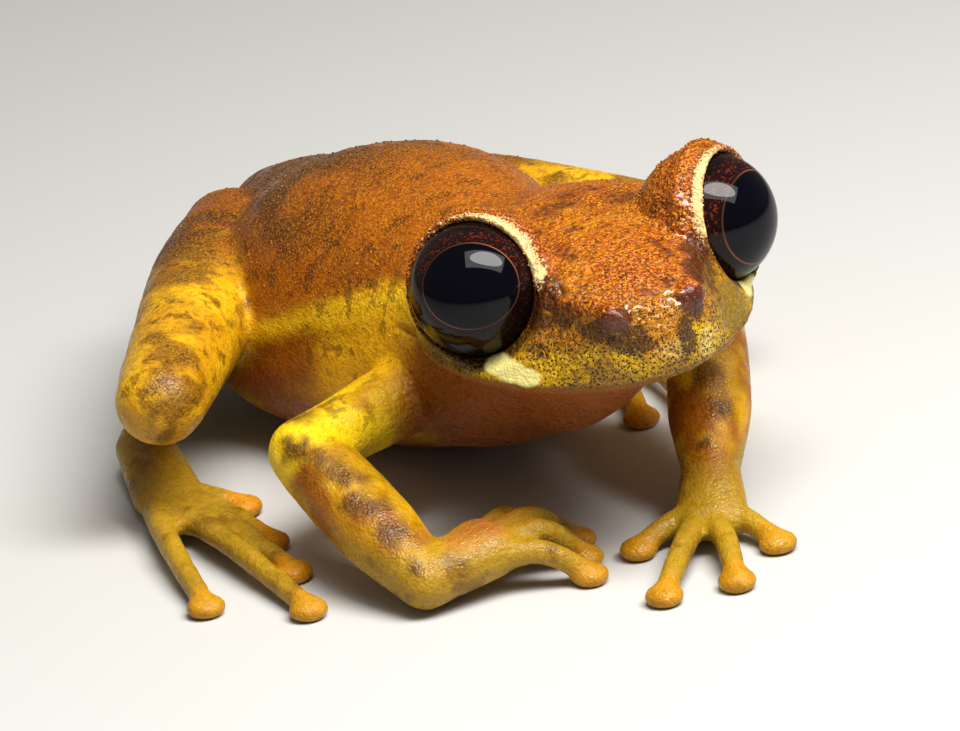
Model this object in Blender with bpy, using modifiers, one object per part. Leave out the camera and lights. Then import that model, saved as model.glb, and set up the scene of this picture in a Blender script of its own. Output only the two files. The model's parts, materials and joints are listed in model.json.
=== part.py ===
"""Small treefrog, crouched on all fours with its head turned a little to its right.

The frog faces -Y, its left side is +X and the floor is Z = 0. Sizes are in
millimetres while the shapes are made, and each finished mesh is scaled to metres.
"""

import math

import bmesh
import bpy
from mathutils import Matrix, Vector

NAME = "gauchers_treefrog"
MM = 0.001

# Head. Its own axes have the point between the eyes as origin, facing -Y.
EYES_AT = (0.0, 0.0, 7.1)
HEAD_YAW = 7.7
HEAD_PITCH = 0.4
HEAD_ROLL = 3.5
EYE_RADIUS = 1.60
EYE_HALF_SPACING = 3.016
EYE_TURN = 47.0
EYE_LIFT = 5.0
LID_PLANE = 0.40
LID_RING_RADIUS = 1.77
LID_THICKNESS = 0.12
TURRET_RADIUS = 1.93
LIP_LEVEL = -1.90
LIP_HALF_WIDTH = 4.154
LIP_REACH = 5.221
LIP_CENTRE = -1.257
LIP_POWER = 1.814
NAPE_REACH = 5.4
NOSTRIL_AT = (3.90, 1.00, -0.16)
NOSTRIL_PIT = 0.18
NOSTRIL_PIT_FLATNESS = 0.75
NOSTRIL_SWELLING = 0.40
NOSTRIL_SWELLING_BACK = 0.36
NOSTRIL_SWELLING_DOWN = 0.06
NOSTRIL_OUTWARD = (0.75, -0.75, 0.45)
TYMPANUM_AT = (-2.55, 3.44, -0.75)
TYMPANUM_RADIUS = 0.62
TYMPANUM_FLATNESS = 0.55

# Gaps that keep neighbouring solids apart.
GAP = 0.30
EYE_GAP = 0.12
FLARE_DEPTH = 2.4
FLARE_SLOPE = 0.35
FLARE_SEAT = 0.04
MOUTH_GAP = 0.24
NECK_AT = 4.9

# Rounds of smoothing over the joined trunk, and how far it is thinned.
VOXEL = 0.17
TRUNK_SMOOTHING = 7
TRUNK_TRIANGLES = 5000
SHARP_ANGLE = 38

DIGIT_SIDES = 8
LIMB_SIDES = 14

# Head outline from the lip over the crown: (share of lip outline, height) pairs,
# at the snout tip, at the cheek, at the side, and at the back.
CROWN_PROFILES = {
    0: ((1.0, -1.90), (1.012, -1.45), (1.016, -0.90), (1.0, -0.42), (0.962, -0.06),
        (0.89, 0.17), (0.76, 0.38), (0.55, 0.60), (0.28, 0.72), (0.0, 0.75)),
    20: ((1.0, -1.90), (1.005, -1.45), (1.004, -0.95), (0.99, -0.50), (0.955, -0.12),
         (0.885, 0.14), (0.76, 0.37), (0.55, 0.60), (0.28, 0.72), (0.0, 0.75)),
    42: ((1.0, -1.90), (0.972, -1.50), (0.93, -1.05), (0.886, -0.60), (0.845, -0.20),
         (0.79, 0.09), (0.69, 0.33), (0.52, 0.56), (0.28, 0.71), (0.0, 0.75)),
    90: ((1.0, -1.90), (0.955, -1.54), (0.895, -1.12), (0.83, -0.60), (0.765, -0.10),
         (0.69, 0.26), (0.58, 0.51), (0.42, 0.67), (0.22, 0.73), (0.0, 0.75)),
    180: ((1.0, -1.90), (1.0, -1.52), (0.98, -1.10), (0.94, -0.75), (0.87, -0.42),
          (0.76, -0.12), (0.60, 0.17), (0.42, 0.44), (0.21, 0.66), (0.0, 0.75)),
}
THROAT_PROFILE = ((0.965, -2.02), (0.88, -2.25), (0.73, -2.65), (0.61, -3.15),
                  (0.50, -3.72), (0.40, -4.25), (0.28, -4.70), (0.14, -4.97),
                  (0.0, -5.04))
THROAT_FORWARD_PULL = -1.60
THROAT_SIDE_PULL = -1.10

# Torso sections along Y: (y, x, half width, lowest z, highest z).
TORSO = (
    (0.6, -0.45, 2.20, 3.30, 6.50),
    (2.4, -0.55, 2.80, 1.80, 7.05),
    (4.6, -0.50, 3.10, 1.00, 7.30),
    (7.0, -0.35, 3.80, 0.25, 7.45),
    (9.5, -0.45, 4.40, -0.08, 7.28),
    (12.0, -0.50, 4.40, -0.05, 6.60),
    (14.3, -0.20, 3.40, 0.50, 5.65),
    (16.5, 0.05, 2.35, 1.50, 4.95),
    (18.1, 0.10, 1.45, 2.20, 4.30),
)
TORSO_WIDEST = 0.33
TORSO_ROUNDNESS = 0.94
TORSO_FRONT_CAP = 0.80
TORSO_REAR_CAP = 0.65

# Limb joints for the two sides; the frog's right side is -X.
JOINTS = {
    "right": {
        "shoulder": (-2.2, 4.7, 3.1),
        "elbow": (-6.65, 3.3, 2.85),
        "wrist": (-5.95, -1.20, 0.78),
        "hip": (-2.3, 15.8, 3.7),
        "knee": (-8.65, 6.9, 3.6),
        "heel": (-3.4, 16.3, 1.8),
        "ankle": (-7.6, 10.8, 0.80),
    },
    "left": {
        "shoulder": (2.3, 5.2, 3.2),
        "elbow": (4.35, 2.8, 3.45),
        "wrist": (2.1, -0.8, 1.15),
        "hip": (2.2, 15.8, 3.5),
        "knee": (6.5, 6.4, 3.9),
        "heel": (2.9, 16.4, 1.8),
        "ankle": (5.3, 12.6, 0.80),
    },
}

# Limb girths: (share of length, wide radius, thin radius).
UPPER_ARM = ((0.0, 1.05, 0.95), (0.35, 1.0, 0.92), (0.7, 0.88, 0.85), (1.0, 0.86, 0.84))
FOREARM = ((0.0, 0.88, 0.86), (0.3, 1.02, 0.92), (0.65, 1.02, 0.90), (1.0, 0.72, 0.68))
THIGH = ((0.0, 1.30, 1.20), (0.3, 1.58, 1.42), (0.65, 1.38, 1.32), (1.0, 1.12, 1.06))
SHANK = ((0.0, 1.12, 1.08), (0.3, 1.22, 1.08), (0.65, 0.98, 0.90), (1.0, 0.74, 0.72))
TARSUS = ((0.0, 0.74, 0.72), (0.4, 0.66, 0.62), (0.75, 0.66, 0.56), (1.0, 0.78, 0.56))

# Digits of each hand and foot: (where it leaves the palm, bend above the floor,
# tip); the disc at each tip lies on the floor.
FINGER_RADIUS = (0.34, 0.27)
TOE_RADIUS = (0.34, 0.27)
FINGER_DISC = 0.50
TOE_DISC = 0.50
DISC_THICKNESS = 0.27
DISC_HEIGHT = 0.21
TIP_RISE = 0.04
WEB_THICKNESS = 0.50
WEB_HOLLOW = 0.38
WEB_OVERLAP = 0.05
WEB_OVERLAP_STEP = 0.02
WRIST = (0.72, 0.68)
ANKLE = (0.78, 0.56)

HANDS = {
    "right": {
        "palm": ((-4.20, -0.95, 1.02), 1.00, 0.70),
        "digits": (
            ((-4.00, -0.35, 1.05), (-3.00, 0.15, 1.10), (-1.95, 0.50, 0.0)),
            ((-3.75, -0.70, 1.10), (-2.65, -0.50, 1.20), (-1.40, -0.30, 0.0)),
            ((-3.75, -1.10, 1.05), (-2.75, -1.25, 1.15), (-1.75, -1.35, 0.0)),
            ((-4.00, -1.50, 0.95), (-3.15, -1.95, 0.95), (-2.20, -2.35, 0.0)),
        ),
        "web": 0.30,
    },
    "left": {
        "palm": ((1.30, -2.15, 0.50), 0.95, 0.50),
        "digits": (
            ((1.05, -1.55, 0.45), (0.40, -1.70, 0.50), (-0.60, -1.85, 0.0)),
            ((0.85, -2.10, 0.45), (0.00, -3.10, 0.60), (-1.45, -4.60, 0.0)),
            ((1.25, -2.40, 0.45), (0.85, -3.60, 0.60), (0.30, -5.00, 0.0)),
            ((1.70, -2.10, 0.45), (1.95, -2.70, 0.50), (2.15, -3.75, 0.0)),
        ),
        "web": 0.32,
    },
}

FEET = {
    "right": {
        "palm": ((-8.25, 8.1, 0.48), 0.92, 0.46),
        "digits": (
            ((-7.95, 8.6, 0.42), (-7.45, 7.9, 0.42), (-6.75, 7.0, 0.0)),
            ((-8.00, 8.2, 0.42), (-7.55, 6.5, 0.50), (-7.20, 4.6, 0.0)),
            ((-8.20, 8.0, 0.42), (-7.90, 5.4, 0.60), (-7.60, 2.6, 0.0)),
            ((-8.45, 7.9, 0.42), (-8.45, 4.4, 0.65), (-8.30, 0.4, 0.0)),
            ((-8.75, 8.0, 0.42), (-9.55, 5.3, 0.55), (-10.15, 2.2, 0.0)),
        ),
        "web": 0.50,
    },
    "left": {
        "palm": ((5.05, 10.2, 0.48), 0.84, 0.46),
        "digits": (
            ((4.60, 10.5, 0.42), (3.95, 9.8, 0.42), (3.15, 8.9, 0.0)),
            ((4.65, 10.1, 0.42), (3.80, 8.8, 0.50), (2.90, 7.1, 0.0)),
            ((4.90, 9.9, 0.42), (4.25, 7.7, 0.60), (3.50, 5.2, 0.0)),
            ((5.15, 9.9, 0.42), (4.95, 6.8, 0.65), (4.45, 3.4, 0.0)),
            ((5.45, 10.0, 0.42), (5.75, 7.9, 0.55), (5.75, 5.7, 0.0)),
        ),
        "web": 0.50,
    },
}

COLOURS = {
    "skin_back": (0.42, 0.17, 0.03),
    "skin_throat": (0.30, 0.12, 0.03),
    "skin_limb": (0.46, 0.28, 0.05),
    "eye_dark": (0.012, 0.010, 0.014),
}
ROUGHNESS = {"skin_back": 0.42, "skin_throat": 0.45, "skin_limb": 0.42, "eye_dark": 0.04}


def clear_scene():
    for obj in list(bpy.data.objects):
        bpy.data.objects.remove(obj, do_unlink=True)


def new_collection(name, shown):
    group = bpy.data.collections.new(name)
    bpy.context.scene.collection.children.link(group)
    group.hide_render = not shown
    return group


def material(name):
    mat = bpy.data.materials.new(name)
    mat.use_nodes = True
    shader = mat.node_tree.nodes["Principled BSDF"]
    shader.inputs["Base Color"].default_value = (*COLOURS[name], 1.0)
    shader.inputs["Roughness"].default_value = ROUGHNESS[name]
    shader.inputs["Metallic"].default_value = 0.0
    mat.diffuse_color = (*COLOURS[name], 1.0)
    return mat


def add_object(name, bm):
    """A helper object from a bmesh, with its faces turned outwards."""
    bm.normal_update()
    bmesh.ops.recalc_face_normals(bm, faces=bm.faces)
    mesh = bpy.data.meshes.new(name)
    bm.to_mesh(mesh)
    bm.free()
    obj = bpy.data.objects.new(name, mesh)
    helpers.objects.link(obj)
    obj.hide_render = True
    obj.display_type = "WIRE"
    return obj


def evaluated_mesh(obj):
    bpy.context.view_layer.update()
    graph = bpy.context.evaluated_depsgraph_get()
    return bpy.data.meshes.new_from_object(obj.evaluated_get(graph))


def bake(obj):
    """Applies the modifiers of a helper object."""
    mesh = evaluated_mesh(obj)
    obj.modifiers.clear()
    obj.data = mesh
    return obj


def drop(*objects):
    for obj in objects:
        bpy.data.objects.remove(obj, do_unlink=True)


def keep_largest(obj):
    """Leaves the connected surface with the most faces."""
    bm = bmesh.new()
    bm.from_mesh(obj.data)
    bm.verts.ensure_lookup_table()
    unseen = set(bm.verts)
    pieces = []
    while unseen:
        front = [unseen.pop()]
        piece = set(front)
        while front:
            for edge in front.pop().link_edges:
                for vert in edge.verts:
                    if vert in unseen:
                        unseen.discard(vert)
                        piece.add(vert)
                        front.append(vert)
        pieces.append(piece)
    largest = max(pieces, key=len)
    spare = [v for v in bm.verts if v not in largest]
    bmesh.ops.delete(bm, geom=spare, context="VERTS")
    bm.to_mesh(obj.data)
    bm.free()
    return obj


def boolean(obj, cutter, operation="DIFFERENCE", solver="MANIFOLD"):
    cut = obj.modifiers.new(operation.lower(), "BOOLEAN")
    cut.operation = operation
    cut.solver = solver
    cut.object = cutter
    bake(obj)
    drop(cutter)
    return obj


def union(pieces):
    """One closed mesh from overlapping closed meshes."""
    base = pieces[0]
    group = bpy.data.collections.new("joined")
    bpy.context.scene.collection.children.link(group)
    for piece in pieces[1:]:
        group.objects.link(piece)
    join = base.modifiers.new("join", "BOOLEAN")
    join.operation = "UNION"
    join.solver = "MANIFOLD"
    join.operand_type = "COLLECTION"
    join.collection = group
    bake(base)
    drop(*pieces[1:])
    bpy.data.collections.remove(group)
    return keep_largest(base)


def smooth_rows(rows, steps):
    """Rows of numbers on a smooth curve through the given rows."""
    rows = [tuple(map(float, row)) for row in rows]
    first = tuple(2 * a - b for a, b in zip(rows[0], rows[1]))
    last = tuple(2 * a - b for a, b in zip(rows[-1], rows[-2]))
    padded = [first, *rows, last]
    found = []
    for i in range(1, len(padded) - 2):
        p0, p1, p2, p3 = padded[i - 1 : i + 3]
        for step in range(steps):
            t = step / steps
            found.append(tuple(
                0.5 * (2 * b + (c - a) * t + (2 * a - 5 * b + 4 * c - d) * t * t
                       + (3 * b - a - 3 * c + d) * t ** 3)
                for a, b, c, d in zip(p0, p1, p2, p3)
            ))
    found.append(rows[-1])
    return found


def loft(name, rings, start=None, end=None):
    """A closed skin over rings of equal count; start and end are pole points."""
    bm = bmesh.new()
    made = [[bm.verts.new(point) for point in ring] for ring in rings]
    count = len(made[0])
    for lower, upper in zip(made, made[1:]):
        for i in range(count):
            j = (i + 1) % count
            bm.faces.new((lower[i], lower[j], upper[j], upper[i]))
    for ring, pole in ((made[0], start), (made[-1], end)):
        if pole is None:
            bm.faces.new(ring)
            continue
        tip = bm.verts.new(pole)
        for i in range(count):
            bm.faces.new((ring[i], ring[(i + 1) % count], tip))
    return add_object(name, bm)


def limb(name, rows, sides):
    """A round-ended tube; rows are x, y, z, wide radius, thin radius."""
    path = [Vector(row[:3]) for row in rows]
    up = Vector((0, 0, 1))
    sections = []
    for i, row in enumerate(rows):
        along = (path[min(i + 1, len(path) - 1)] - path[max(i - 1, 0)]).normalized()
        side = along.cross(up).normalized()
        thin = side.cross(along).normalized()
        sections.append((path[i], along, side, thin, row[3], row[4]))

    def ring(centre, side, thin, wide, deep):
        return [
            centre
            + side * wide * math.cos(2 * math.pi * k / sides)
            + thin * deep * math.sin(2 * math.pi * k / sides)
            for k in range(sides)
        ]

    def cap(section, sign):
        centre, along, side, thin, wide, deep = section
        radius = min(wide, deep)
        made = []
        for angle in (60, 30):
            push = along * sign * radius * math.sin(math.radians(angle))
            shrink = math.cos(math.radians(angle))
            made.append(ring(centre + push, side, thin, wide * shrink, deep * shrink))
        return made, centre + along * sign * radius

    start_rings, start = cap(sections[0], -1)
    end_rings, end = cap(sections[-1], 1)
    middle_rings = [ring(c, s, n, w, d) for c, _, s, n, w, d in sections]
    return loft(name, start_rings + middle_rings + end_rings[::-1], start, end)


def segment(name, start, end, girths):
    """One stretch of a limb between two joints, with a muscle's girth."""
    start, end = Vector(start), Vector(end)
    rows = [(*start.lerp(end, share), wide, deep) for share, wide, deep in girths]
    return limb(name, smooth_rows(rows, 3), LIMB_SIDES)


def ball(name, centre, radius, segments=24, rings=14, scale=(1, 1, 1), turn=None):
    bm = bmesh.new()
    bmesh.ops.create_uvsphere(bm, u_segments=segments, v_segments=rings, radius=radius)
    place = Matrix.Translation(centre)
    if turn is not None:
        place = place @ turn
    bm.transform(place @ Matrix.Diagonal((*scale, 1)))
    return add_object(name, bm)


def half_space(point, normal, size=60.0):
    """A big box that covers the side of the plane that the normal points to."""
    normal = Vector(normal).normalized()
    turn = normal.to_track_quat("Z", "Y").to_matrix().to_4x4()
    place = Matrix.Translation(Vector(point) + normal * size / 2) @ turn
    bm = bmesh.new()
    bmesh.ops.create_cube(bm, size=size)
    bm.transform(place)
    return add_object("half_space", bm)


def trim(obj, point, normal):
    """Removes what lies on the side of the plane that the normal points to."""
    return boolean(obj, half_space(point, normal))


def head_matrix():
    return (
        Matrix.Translation(EYES_AT)
        @ Matrix.Rotation(math.radians(-HEAD_YAW), 4, "Z")
        @ Matrix.Rotation(math.radians(-HEAD_PITCH), 4, "X")
        @ Matrix.Rotation(math.radians(-HEAD_ROLL), 4, "Y")
    )


def head_spot(forward, left, up):
    return head @ Vector((left, -forward, up))


def signed_power(value, power):
    return math.copysign(abs(value) ** power, value)


def lip_outline(angle):
    """(forward, left) of the lip at an angle from the snout tip."""
    power = 2.0 / LIP_POWER
    reach = LIP_REACH if math.cos(angle) > 0 else NAPE_REACH
    forward = LIP_CENTRE + reach * signed_power(math.cos(angle), power)
    left = LIP_HALF_WIDTH * signed_power(math.sin(angle), power)
    return forward, left


def crown_profile(degrees):
    """The head's profile at an angle from the snout tip, between the named ones."""
    keys = sorted(CROWN_PROFILES)
    upper = next(i for i, key in enumerate(keys) if key >= degrees - 1e-6)
    if upper == 0:
        return CROWN_PROFILES[keys[0]]
    low, high = keys[upper - 1], keys[upper]
    share = (degrees - low) / (high - low)
    share = share * share * (3 - 2 * share)
    return [
        (a + (c - a) * share, b + (d - b) * share)
        for (a, b), (c, d) in zip(CROWN_PROFILES[low], CROWN_PROFILES[high])
    ]


def head_dome(columns=56):
    """Crown, cheeks and throat as one closed form in the head's own axes."""
    rings = []
    levels = len(smooth_rows(CROWN_PROFILES[0], 2)) - 1
    profiles = []
    for column in range(columns):
        degrees = 360.0 * column / columns
        fold = degrees if degrees <= 180 else 360 - degrees
        profiles.append(smooth_rows(crown_profile(fold), 2))
    angles = [2 * math.pi * column / columns for column in range(columns)]
    for level in range(levels - 1, -1, -1):
        ring = []
        for angle, profile in zip(angles, profiles):
            share, up = profile[level]
            forward, left = lip_outline(angle)
            forward = LIP_CENTRE + (forward - LIP_CENTRE) * share
            ring.append((left * share, -forward, up))
        rings.append(ring)
    for share, up in THROAT_PROFILE[:-1]:
        ring = []
        for angle in angles:
            forward, left = lip_outline(angle)
            drawn = LIP_CENTRE + (1 - share) * THROAT_FORWARD_PULL
            forward = drawn + (forward - LIP_CENTRE) * share
            ring.append((left * share + (1 - share) * THROAT_SIDE_PULL, -forward, up))
        rings.append(ring)
    crown = (0, -LIP_CENTRE, CROWN_PROFILES[0][-1][1])
    chin = (THROAT_SIDE_PULL, -LIP_CENTRE - THROAT_FORWARD_PULL, THROAT_PROFILE[-1][1])
    return loft("head_dome", rings, crown, chin)


def eye_axis(sign):
    turn, lift = math.radians(EYE_TURN), math.radians(EYE_LIFT)
    return Vector((
        sign * math.sin(turn) * math.cos(lift),
        -math.cos(turn) * math.cos(lift),
        math.sin(lift),
    ))


def torso_rings(grow=0.0, sides=36):
    rings = []
    for y, x, half, low, high in smooth_rows(TORSO, 4):
        middle = low + TORSO_WIDEST * (high - low)
        ring = []
        for k in range(sides):
            angle = 2 * math.pi * k / sides
            side, rise = math.sin(angle), math.cos(angle)
            depth = (high - middle if rise > 0 else middle - low) + grow
            ring.append((
                x + (half + grow) * signed_power(side, TORSO_ROUNDNESS),
                y,
                middle + depth * signed_power(rise, TORSO_ROUNDNESS),
            ))
        rings.append(ring)
    return rings


def torso(name, grow=0.0):
    rings = torso_rings(grow)
    y, x, _, low, high = TORSO[0]
    start = (x, y - TORSO_FRONT_CAP - grow, (low + high) / 2)
    y, x, _, low, high = TORSO[-1]
    end = (x, y + TORSO_REAR_CAP + grow, (low + high) / 2)
    return loft(name, rings, start, end)


def turret(sign):
    """The raised lid round one eye, cut off where the eye shows."""
    centre = Vector((sign * EYE_HALF_SPACING, 0, 0))
    axis = eye_axis(sign)
    made = ball("turret", centre, TURRET_RADIUS, 36, 20)
    return trim(made, centre + axis * LID_PLANE, axis)


def place_in_head(obj):
    obj.data.transform(head)
    return obj


def lid_ring(sign):
    centre = Vector((sign * EYE_HALF_SPACING, 0, 0))
    axis = eye_axis(sign)
    bpy.ops.mesh.primitive_torus_add(
        major_segments=32, minor_segments=6,
        major_radius=LID_RING_RADIUS, minor_radius=LID_THICKNESS,
    )
    ring = bpy.context.object
    for group in list(ring.users_collection):
        group.objects.unlink(ring)
    helpers.objects.link(ring)
    ring.hide_render = True
    turn = axis.to_track_quat("Z", "Y").to_matrix().to_4x4()
    ring.data.transform(head @ Matrix.Translation(centre + axis * LID_PLANE) @ turn)
    return ring


def eye_opening(sign):
    """What is taken out of the head for one eye: its ball, and a flare in front."""
    centre = Vector((sign * EYE_HALF_SPACING, 0, 0))
    axis = eye_axis(sign)
    hollow = ball("hollow", centre, EYE_RADIUS + EYE_GAP, 28, 16)
    start_radius = EYE_RADIUS + EYE_GAP - FLARE_SEAT
    bm = bmesh.new()
    bmesh.ops.create_cone(
        bm, cap_ends=True, segments=28, depth=FLARE_DEPTH,
        radius1=start_radius, radius2=start_radius + FLARE_DEPTH * FLARE_SLOPE,
    )
    turn = axis.to_track_quat("Z", "Y").to_matrix().to_4x4()
    bm.transform(Matrix.Translation(centre + axis * (LID_PLANE + FLARE_DEPTH / 2)) @ turn)
    flare = add_object("flare", bm)
    return place_in_head(union([hollow, flare]))


def nostril_pit(sign):
    forward, left, up = NOSTRIL_AT
    side, front, rise = NOSTRIL_OUTWARD
    outward = Vector((sign * side, front, rise)).normalized()
    at = Vector((sign * left, -forward, up)) + outward * NOSTRIL_PIT / 3
    flat = (1, 1, NOSTRIL_PIT_FLATNESS)
    return place_in_head(ball("pit", at, NOSTRIL_PIT, 10, 6, flat))


def copy_of(obj, name):
    double = bpy.data.objects.new(name, obj.data.copy())
    helpers.objects.link(double)
    double.hide_render = True
    return double


def trunk():
    """Head and torso in one smooth skin, thinned to fewer faces."""
    pieces = [place_in_head(head_dome())]
    for sign in (-1, 1):
        pieces.append(place_in_head(turret(sign)))
        forward, left, up = NOSTRIL_AT
        at = (sign * left, -forward + NOSTRIL_SWELLING_BACK, up - NOSTRIL_SWELLING_DOWN)
        pieces.append(place_in_head(ball("swelling", at, NOSTRIL_SWELLING, 12, 8)))
        forward, left, up = TYMPANUM_AT
        at = (sign * left, -forward, up)
        flat = (TYMPANUM_FLATNESS, 1, 1)
        pieces.append(place_in_head(ball("drum", at, TYMPANUM_RADIUS, 14, 8, flat)))
    pieces.append(torso("torso_form"))
    made = union(pieces)
    remesh = made.modifiers.new("remesh", "REMESH")
    remesh.mode = "VOXEL"
    remesh.voxel_size = VOXEL
    smoothing = made.modifiers.new("smooth", "SMOOTH")
    smoothing.factor = 0.5
    smoothing.iterations = TRUNK_SMOOTHING
    bake(made)
    made.data.calc_loop_triangles()
    thin = made.modifiers.new("thin", "DECIMATE")
    thin.ratio = TRUNK_TRIANGLES / len(made.data.loop_triangles)
    return bake(made)


def finish(obj, name, slot):
    """Makes a helper the finished node: scaled to metres, smooth, with its material."""
    keep_largest(obj)
    bm = bmesh.new()
    bm.from_mesh(obj.data)
    bmesh.ops.triangulate(bm, faces=bm.faces)
    bm.transform(Matrix.Scale(MM, 4))
    bm.to_mesh(obj.data)
    bm.free()
    helpers.objects.unlink(obj)
    solids.objects.link(obj)
    obj.name = name
    obj.data.name = name
    obj.hide_render = False
    obj.display_type = "TEXTURED"
    obj.data.materials.clear()
    obj.data.materials.append(materials[slot])
    obj.data.polygons.foreach_set("use_smooth", [True] * len(obj.data.polygons))
    obj.data.set_sharp_from_angle(angle=math.radians(SHARP_ANGLE))
    obj.parent = root
    return obj


def build_trunk():
    whole = trunk()
    openings = [eye_opening(-1), eye_opening(1)]
    whole = union([whole, lid_ring(-1), lid_ring(1)])
    for sign, opening in zip((-1, 1), openings):
        boolean(whole, opening)
        boolean(whole, nostril_pit(sign))
    trim(whole, (0, 0, 0), (0, 0, -1))
    neck = Vector((0, NECK_AT, 0))
    back = Vector((0, 1, 0))
    torso_part = trim(copy_of(whole, "torso"), neck + back * GAP / 2, -back)
    front = trim(copy_of(whole, "front"), neck - back * GAP / 2, back)
    drop(whole)
    lip = head_spot(0, 0, LIP_LEVEL)
    up = head.to_3x3() @ Vector((0, 0, 1))
    head_part = trim(copy_of(front, "head"), lip, -up)
    jaw_part = trim(copy_of(front, "lower_jaw"), lip - up * MOUTH_GAP, up)
    drop(front)
    finish(head_part, "head", "skin_back")
    finish(jaw_part, "lower_jaw", "skin_throat")
    return finish(torso_part, "torso", "skin_back")


def build_eye(side, sign):
    eye = ball("eye", (sign * EYE_HALF_SPACING, 0, 0), EYE_RADIUS, 26, 16,
               turn=eye_axis(sign).to_track_quat("Z", "Y").to_matrix().to_4x4())
    return finish(place_in_head(eye), f"eye_{side}", "eye_dark")


def joint_plane(before, joint, after):
    """The normal of the plane that halves a joint, pointing to what comes after."""
    back = (Vector(before) - Vector(joint)).normalized()
    ahead = (Vector(after) - Vector(joint)).normalized()
    return (ahead - back).normalized()


def build_limb(side, names, joints, girths, palm_end):
    """Stretches of one limb, parted at each joint by a thin cut."""
    pieces = []
    for name, start, end, girth in zip(names, joints, joints[1:], girths):
        pieces.append(segment(name, start, end, girth))
    joints = (*joints, palm_end)
    for i, piece in enumerate(pieces):
        boolean(piece, torso("cutter", GAP))
        normal = joint_plane(*joints[i : i + 3])
        at = Vector(joints[i + 1])
        trim(piece, at - normal * GAP / 2, normal)
        if i + 1 < len(pieces):
            trim(pieces[i + 1], at + normal * GAP / 2, -normal)
    for piece, name in zip(pieces, names):
        finish(piece, f"{name}_{side}", "skin_limb")


def digit(base, bend, tip, radii, disc):
    base, bend = Vector(base), Vector(bend)
    tip = Vector((tip[0], tip[1], DISC_HEIGHT + TIP_RISE))
    rows = []
    for share, point in ((0, base), (0.5, bend), (1, tip)):
        radius = radii[0] + (radii[1] - radii[0]) * share
        rows.append((*point, radius, radius))
    rows = smooth_rows(rows, 3)
    along = Vector((tip.x - bend.x, tip.y - bend.y, 0)).normalized()
    turn = along.to_track_quat("Y", "Z").to_matrix().to_4x4()
    pad = ball("disc", (tip.x, tip.y, DISC_HEIGHT), disc, 10, 6,
               (1.0, 0.95, DISC_THICKNESS / disc), turn)
    return [limb("digit", rows, DIGIT_SIDES), pad], rows


def web(left_rows, right_rows, share, overlap, steps=4, across=4):
    """A thin web between the first stretches of two digits, hollowed at its edge."""
    bm = bmesh.new()
    layers = []
    last = len(left_rows) - 1

    def on_path(rows, s):
        place = min(max(s * last, 0), last - 1e-6)
        i = int(place)
        return Vector(rows[i][:3]).lerp(Vector(rows[i + 1][:3]), place - i)

    for lift in (-0.5, 0.5):
        grid = []
        for i in range(steps + 1):
            row = []
            for j in range(across + 1):
                t = j / across
                s = share * i / steps * (1 - WEB_HOLLOW * 4 * t * (1 - t))
                wider = t * (1 + 2 * overlap) - overlap
                point = on_path(left_rows, s).lerp(on_path(right_rows, s), wider)
                point.z += WEB_THICKNESS * lift
                row.append(bm.verts.new(point))
            grid.append(row)
        layers.append(grid)
    low, high = layers
    for i in range(steps):
        for j in range(across):
            for grid in layers:
                bm.faces.new((grid[i][j], grid[i][j + 1], grid[i + 1][j + 1], grid[i + 1][j]))
    for i in range(steps):
        for j in (0, across):
            bm.faces.new((low[i][j], low[i + 1][j], high[i + 1][j], high[i][j]))
    for j in range(across):
        for i in (0, steps):
            bm.faces.new((low[i][j], low[i][j + 1], high[i][j + 1], high[i][j]))
    return add_object("web", bm)


def build_spread(name, plan, radii, disc, joint, before, reach):
    """A hand or foot: palm, digits with their discs, and webs, cut flat on the floor."""
    end, wide, deep = plan["palm"]
    end, joint = Vector(end), Vector(joint)
    rows = [(*joint, reach[0], reach[1]), (*end, wide, deep)]
    pieces = [limb("palm", smooth_rows(rows, 3), LIMB_SIDES)]
    paths = []
    for base, bend, tip in plan["digits"]:
        made, path = digit(base, bend, tip, radii, disc)
        pieces.extend(made)
        paths.append(path)
    for i, (first, second) in enumerate(zip(paths, paths[1:])):
        pieces.append(web(first, second, plan["web"], WEB_OVERLAP + WEB_OVERLAP_STEP * i))
    whole = union(pieces)
    normal = joint_plane(before, joint, end)
    trim(whole, joint + normal * GAP / 2, -normal)
    trim(whole, (0, 0, 0), (0, 0, -1))
    return finish(whole, name, "skin_limb")


def centre_on_floor():
    """Moves every node so that the middle of the whole, seen from above, is at zero."""
    corners = [v.co for obj in solids.objects if obj.type == "MESH" for v in obj.data.vertices]
    middle = [(min(c[i] for c in corners) + max(c[i] for c in corners)) / 2 for i in (0, 1)]
    shift = Matrix.Translation((-middle[0], -middle[1], 0))
    for obj in solids.objects:
        if obj.type == "MESH":
            obj.data.transform(shift)


clear_scene()
solids = new_collection(NAME, True)
helpers = new_collection("helpers", False)
root = bpy.data.objects.new(NAME + "_root", None)
solids.objects.link(root)
materials = {name: material(name) for name in COLOURS}
head = head_matrix()

build_trunk()
for side, sign in (("right", -1), ("left", 1)):
    build_eye(side, sign)
    at = JOINTS[side]
    hand = HANDS[side]
    foot = FEET[side]
    build_limb(
        side, ("upper_arm", "forearm"),
        (at["shoulder"], at["elbow"], at["wrist"]),
        (UPPER_ARM, FOREARM), hand["palm"][0],
    )
    build_limb(
        side, ("thigh", "shank", "tarsus"),
        (at["hip"], at["knee"], at["heel"], at["ankle"]),
        (THIGH, SHANK, TARSUS), foot["palm"][0],
    )
    build_spread(f"hand_{side}", hand, FINGER_RADIUS, FINGER_DISC,
                 at["wrist"], at["elbow"], WRIST)
    build_spread(f"foot_{side}", foot, TOE_RADIUS, TOE_DISC,
                 at["ankle"], at["heel"], ANKLE)
centre_on_floor()
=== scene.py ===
import json
import math

import bmesh
import bpy
import numpy as np
from mathutils import Matrix, Vector

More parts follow.
